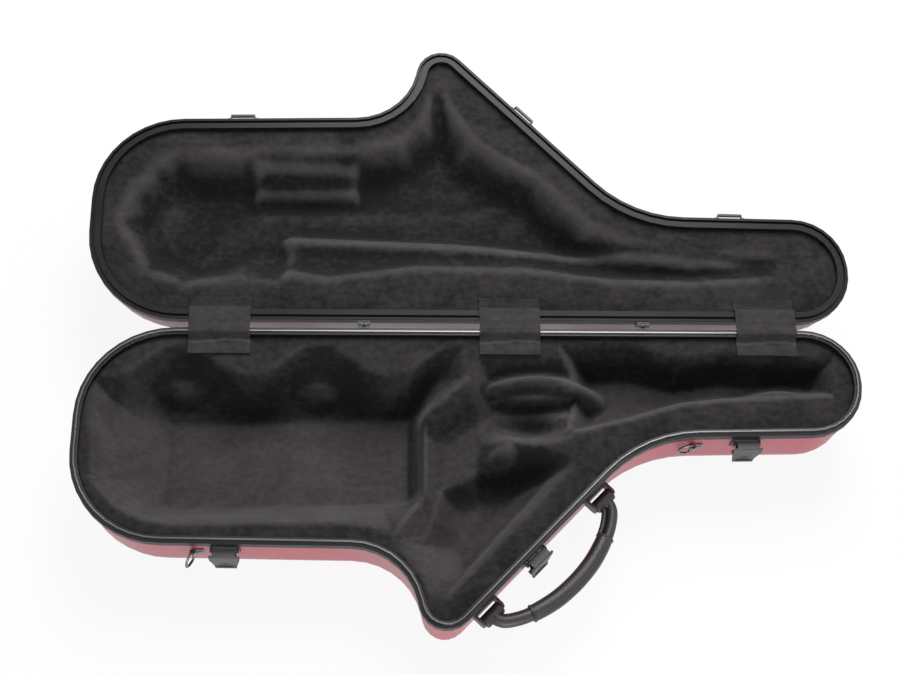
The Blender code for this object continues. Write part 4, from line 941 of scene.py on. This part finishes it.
def curve_through(knots, steps):
    """Points of a smooth curve through knots."""
    knots = [Vector(k) for k in knots]
    padded = [2 * knots[0] - knots[1]] + knots + [2 * knots[-1] - knots[-2]]
    points = []
    for a, b, c, d in zip(padded, padded[1:], padded[2:], padded[3:]):
        for k in range(steps):
            t = k / steps
            points.append(0.5 * ((2 * b) + (c - a) * t + (2 * a - 5 * b + 4 * c - d) * t * t
                                 + (3 * b - a - 3 * c + d) * t ** 3))
    return points + [knots[-1]]


print("a curve of", len(curve_through([(0, 0, 0), (1, 0, 0), (1, 1, 0)], 6)), "points")

# %% Grip
HANDLE = joint_frame("handle_swing")
HANDLE_BOW = 0.0378
HANDLE_HALF = [(0.0240, 0.0362), (0.0450, 0.0315), (0.0640, 0.0245), (0.0790, 0.0150), (0.0845, 0.0070),
               (0.0850, 0.0)]
GRIP_HALF = 0.0585
GRIP_R = 0.0092
GRIP_TAPER = 0.0006
WRINKLE = {"high": 0.0001, "along": 1100, "bend": 3.0, "across": 300}
right_half = [(x, -out, 0) for x, out in HANDLE_HALF]
left_half = [(-x, -out, 0) for x, out in reversed(HANDLE_HALF)]
handle_line = curve_through(left_half + [(0, -HANDLE_BOW, 0)] + right_half, 10)
grip_line = [p for p in handle_line if abs(p.x) < GRIP_HALF]
girth = [GRIP_R - GRIP_TAPER * (p.x / GRIP_HALF) ** 4 for p in grip_line]
bm = bmesh.new()
swept(bm, grip_line, girth, 40)
bmesh.ops.recalc_face_normals(bm, faces=bm.faces[:])
for vert in bm.verts:
    bend = WRINKLE["bend"] * math.sin(vert.co.z * WRINKLE["across"])
    fold = WRINKLE["high"] * math.sin(vert.co.x * WRINKLE["along"] + bend)
    vert.co.z += fold * (1 - (vert.co.x / GRIP_HALF) ** 2)
bmesh.ops.transform(bm, matrix=HANDLE, verts=bm.verts[:])
grip = new_piece("handle_grip_sleeve", bm, leather, "handle", 50.0, ("handle_grip",))
print("grip:", len(grip.data.polygons), "faces")

# %% Seams of the grip
SEAM_TILTS = (62, -118)
SEAM_R = 0.0007
SEAM_SUNK = 0.0002
HEM_STEPS = (0.0, 0.0007, 0.0021, 0.0028)
HEM_R = (0.0082, 0.0095, 0.0095, 0.0088)


def on_grip(point, radius, tilt):
    """A place on the sleeve's skin, an angle of tilt round it from its outer side."""
    turn = math.radians(tilt)
    return point + Vector((0, -math.cos(turn), math.sin(turn))) * radius


bm = bmesh.new()
for tilt in SEAM_TILTS:
    seam = [on_grip(p, r - SEAM_SUNK, tilt) for p, r in zip(grip_line, girth)][1:-1]
    swept(bm, seam, [SEAM_R] * len(seam), 8)
for end, beside in ((grip_line[0], grip_line[1]), (grip_line[-1], grip_line[-2])):
    inward = (beside - end).normalized()
    swept(bm, [end + inward * step for step in HEM_STEPS], HEM_R, 40)
bmesh.ops.transform(bm, matrix=HANDLE, verts=bm.verts[:])
bmesh.ops.recalc_face_normals(bm, faces=bm.faces[:])
new_piece("handle_seams", bm, leather, "handle", 60.0)
print("seams:", len(SEAM_TILTS))

# %% Stitches of the grip
STITCH_TILTS = (50, 74)
STITCH = (0.0024, 0.0006, 0.0006)
STITCH_SUNK = 0.0001
bm = bmesh.new()
stitched = range(2, len(grip_line) - 3)
for k in stitched:
    along = (grip_line[k + 1] - grip_line[k]).normalized()
    turn = Matrix.Rotation(math.atan2(along.y, along.x), 4, "Z")
    for tilt in STITCH_TILTS:
        spot = on_grip(grip_line[k], girth[k] - STITCH_SUNK, tilt)
        bar(bm, STITCH, Matrix.Translation(spot) @ turn, 0.0001)
bmesh.ops.transform(bm, matrix=HANDLE, verts=bm.verts[:])
new_piece("handle_stitches", bm, thread, "handle")
print("stitches:", len(stitched) * len(STITCH_TILTS))

# %% Rolled straps
STRAP_FROM = 0.0540
STRAP_TO = 0.0850
ELBOW_OUT = 0.02
LOOP_HALF = 0.0121
LOOP_THICK = 0.0044
LOOP_IN = 0.0027
LOOP_ROUND = 0.0018
STRANDS = {"lower": ((0.0, 0.0070), (-0.0052, 0.0024)), "upper": ((0.0022, 0.0057), (-0.0062, 0.0029))}


def strand(side, shift):
    """Points of one strand from the grip to a bar, shifted outward from the handle's line."""
    line = [p for p in handle_line if STRAP_FROM <= side * p.x <= STRAP_TO
            or (side * p.x > STRAP_FROM and p.y > -ELBOW_OUT)]
    line = sorted(line, key=lambda p: (side * p.x, -p.y))
    moved = []
    for i, p in enumerate(line):
        before, after = line[max(i - 1, 0)], line[min(i + 1, len(line) - 1)]
        along = (after - before).normalized()
        moved.append(p + Vector((along.y, -along.x, 0)) * shift * side)
    return moved


for name, side in (("lower", -1), ("upper", 1)):
    bm = bmesh.new()
    bmesh.ops.create_grid(bm, x_segments=1, y_segments=1, size=0.5)
    lay = Matrix.Translation((side * STRAP_TO, 0, LOOP_IN + LOOP_THICK / 2))
    lay = lay @ Matrix.Rotation(math.pi / 2, 4, "X") @ Matrix.Diagonal((2 * LOOP_HALF, LOOP_THICK, 1, 1))
    bmesh.ops.transform(bm, matrix=lay, verts=bm.verts[:])
    bmesh.ops.bevel(bm, geom=bm.verts[:], offset=LOOP_ROUND, affect="VERTICES", segments=4, profile=0.5,
                    material=-1)
    section = bm.faces[:] + bm.edges[:] + bm.verts[:]
    bmesh.ops.spin(bm, geom=section, cent=(side * STRAP_TO, 0, 0), axis=(1, 0, 0), dvec=(0, 0, 0),
                   angle=2 * math.pi, steps=32, use_merge=True)
    bmesh.ops.remove_doubles(bm, verts=bm.verts[:], dist=MERGE)
    for shift, radius in STRANDS[name]:
        line = strand(side, shift)
        swept(bm, line, [radius] * len(line), 24)
    bmesh.ops.transform(bm, matrix=HANDLE, verts=bm.verts[:])
    bmesh.ops.recalc_face_normals(bm, faces=bm.faces[:])
    stands_for = (f"handle_strap_{name}",)
    strap = new_piece(f"handle_strap_{name}_rolled", bm, leather, "handle", 50.0, stands_for)
    print(strap.name, len(strap.data.polygons), "faces")

# %% [markdown]
# ## The three velour flaps
#
# Three strips of velour cross the hinge line and are glued to both liners, so that nothing catches in the
# gap. A strip is a grid laid along a path: over the base's plateau, up over the rims and down on the lid's.
# Its thickness is in the mesh itself, because a piece that bends between two bodies needs a final mesh.
# Painted light and shade is written on its points: even over the rims, a painted highlight along a fold
# beside the base's rim that the mesh does not have, and painted shade at both ends, where it runs into the
# liners.

# %% Lay out the path
FLAP_X = {"left": -0.2699, "middle": 0.0402, "right": 0.3179}
FLAP_WIDE = 0.065
FLAP_THICK = 0.0012
FLAP_KNOTS = [
    (-0.0330, -0.0052), (-0.0180, -0.0052), (-0.0147, -0.0028), (-0.0130, 0.0011), (-0.0110, 0.0036),
    (-0.0062, 0.0036), (-0.0040, 0.0026), (0.0, 0.0018), (0.0042, 0.0022), (0.0090, 0.0022),
    (0.0160, 0.0033), (0.0184, 0.0010), (0.0200, -0.0020), (0.0222, -0.0028), (0.0320, -0.0018),
]
path = curve_through([(back, up, 0) for back, up in FLAP_KNOTS], 4)
path_back = [p.x for p in path]
path_up = [p.y for p in path]
reach = [0.0]
for before, after in zip(path, path[1:]):
    reach.append(reach[-1] + (after - before).length)
FLAP_LONG = reach[-1]
print("a flap is", round(FLAP_LONG * 1000, 1), "mm long")

# %% The painted light and shade of a flap
# Painted light and shade along a flap: darker at both ends where it runs into the liners, and a painted
# highlight along a fold that the mesh does not have.
PAINTED_LIGHT_BACK = (-0.0330, -0.0290, -0.0215, -0.0165, -0.0130, -0.0060, 0.0150, 0.0185, 0.0205, 0.0320)
PAINTED_LIGHT_THERE = (0.33, 0.40, 0.47, 0.42, 0.40, 0.46, 0.56, 0.42, 0.28, 0.26)
FOLD_HIGHLIGHT = {"back": -0.0184, "wide": 0.0012, "highlight": 0.80, "swing": 0.0012, "turns": 95, "start": 0.6,
        "ripple": 0.0005, "ripples": 310}


def flap_painted_light(back, across):
    """Painted light and shade of a flap at a place behind the hinge line and across it, with a painted
    highlight along a fold.
    """
    even = np.interp(back, PAINTED_LIGHT_BACK, PAINTED_LIGHT_THERE)
    fold = FOLD_HIGHLIGHT["back"] + FOLD_HIGHLIGHT["swing"] * math.sin(across * FOLD_HIGHLIGHT["turns"] + FOLD_HIGHLIGHT["start"])
    fold += FOLD_HIGHLIGHT["ripple"] * math.sin(across * FOLD_HIGHLIGHT["ripples"])
    return float(even + FOLD_HIGHLIGHT["highlight"] * math.exp(-((back - fold) / FOLD_HIGHLIGHT["wide"]) ** 2))


print("the fold lies", round(-FOLD_HIGHLIGHT["back"] * 1000, 1), "mm in front of the hinge line")

# %% Lay a strip along the path
FREE_HALF = 0.030
WAVE = {"high": 0.00035, "across": 190, "along": 120, "edge": 0.0002, "edges": 420}


def laid_strip(x, wide, start, finish, lift, thick, cells):
    """A grid laid on the flap's path between two distances along it, with small waves where it hangs free."""
    bm = bmesh.new()
    pile_light = bm.verts.layers.float.new("painted_light")
    bmesh.ops.create_grid(bm, x_segments=cells[0], y_segments=cells[1], size=0.5)
    for vert in bm.verts:
        along = start + (finish - start) * (vert.co.y + 0.5)
        back, up = np.interp(along, reach, path_back), np.interp(along, reach, path_up)
        across = vert.co.x * wide
        free = math.sin(math.pi * np.clip((back + FREE_HALF) / (2 * FREE_HALF), 0, 1))
        wave = WAVE["high"] * free * math.sin(across * WAVE["across"] + back * WAVE["along"])
        wave += WAVE["edge"] * math.sin(across * WAVE["edges"])
        vert.co = (x + across, SHIFT_Y + back, RIM_Z + up + lift + wave)
        # Each point gets the flap's painted light and shade.
        vert[pile_light] = flap_painted_light(back, across)
    bmesh.ops.solidify(bm, geom=bm.faces[:], thickness=-thick)
    bmesh.ops.recalc_face_normals(bm, faces=bm.faces[:])
    return bm


print("free between", -FREE_HALF, "and", FREE_HALF, "m")

# %% Make the flaps
HEM_LONG = 0.0030
HEM_WIDER = 0.0006
HEM_LIFT = 0.0004
HEM_THICK = 0.0010
HEM_PLACES = {"base": (0.0, HEM_LONG), "lid": (FLAP_LONG - HEM_LONG, FLAP_LONG)}
for name, x in FLAP_X.items():
    bm = laid_strip(x, FLAP_WIDE, 0.0, FLAP_LONG, 0.0, FLAP_THICK, (40, 60))
    cloth = new_piece(f"flap_{name}_cloth", bm, flap_velour, None, 60.0, (f"flap_{name}",))
    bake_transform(cloth)
    for end, (start, finish) in HEM_PLACES.items():
        bm = laid_strip(x, FLAP_WIDE + HEM_WIDER, start, finish, HEM_LIFT, HEM_THICK, (40, 4))
        new_piece(f"flap_{name}_{end}_hem", bm, flap_velour, end, 60.0)
    print(cloth.name, len(cloth.data.polygons), "faces")
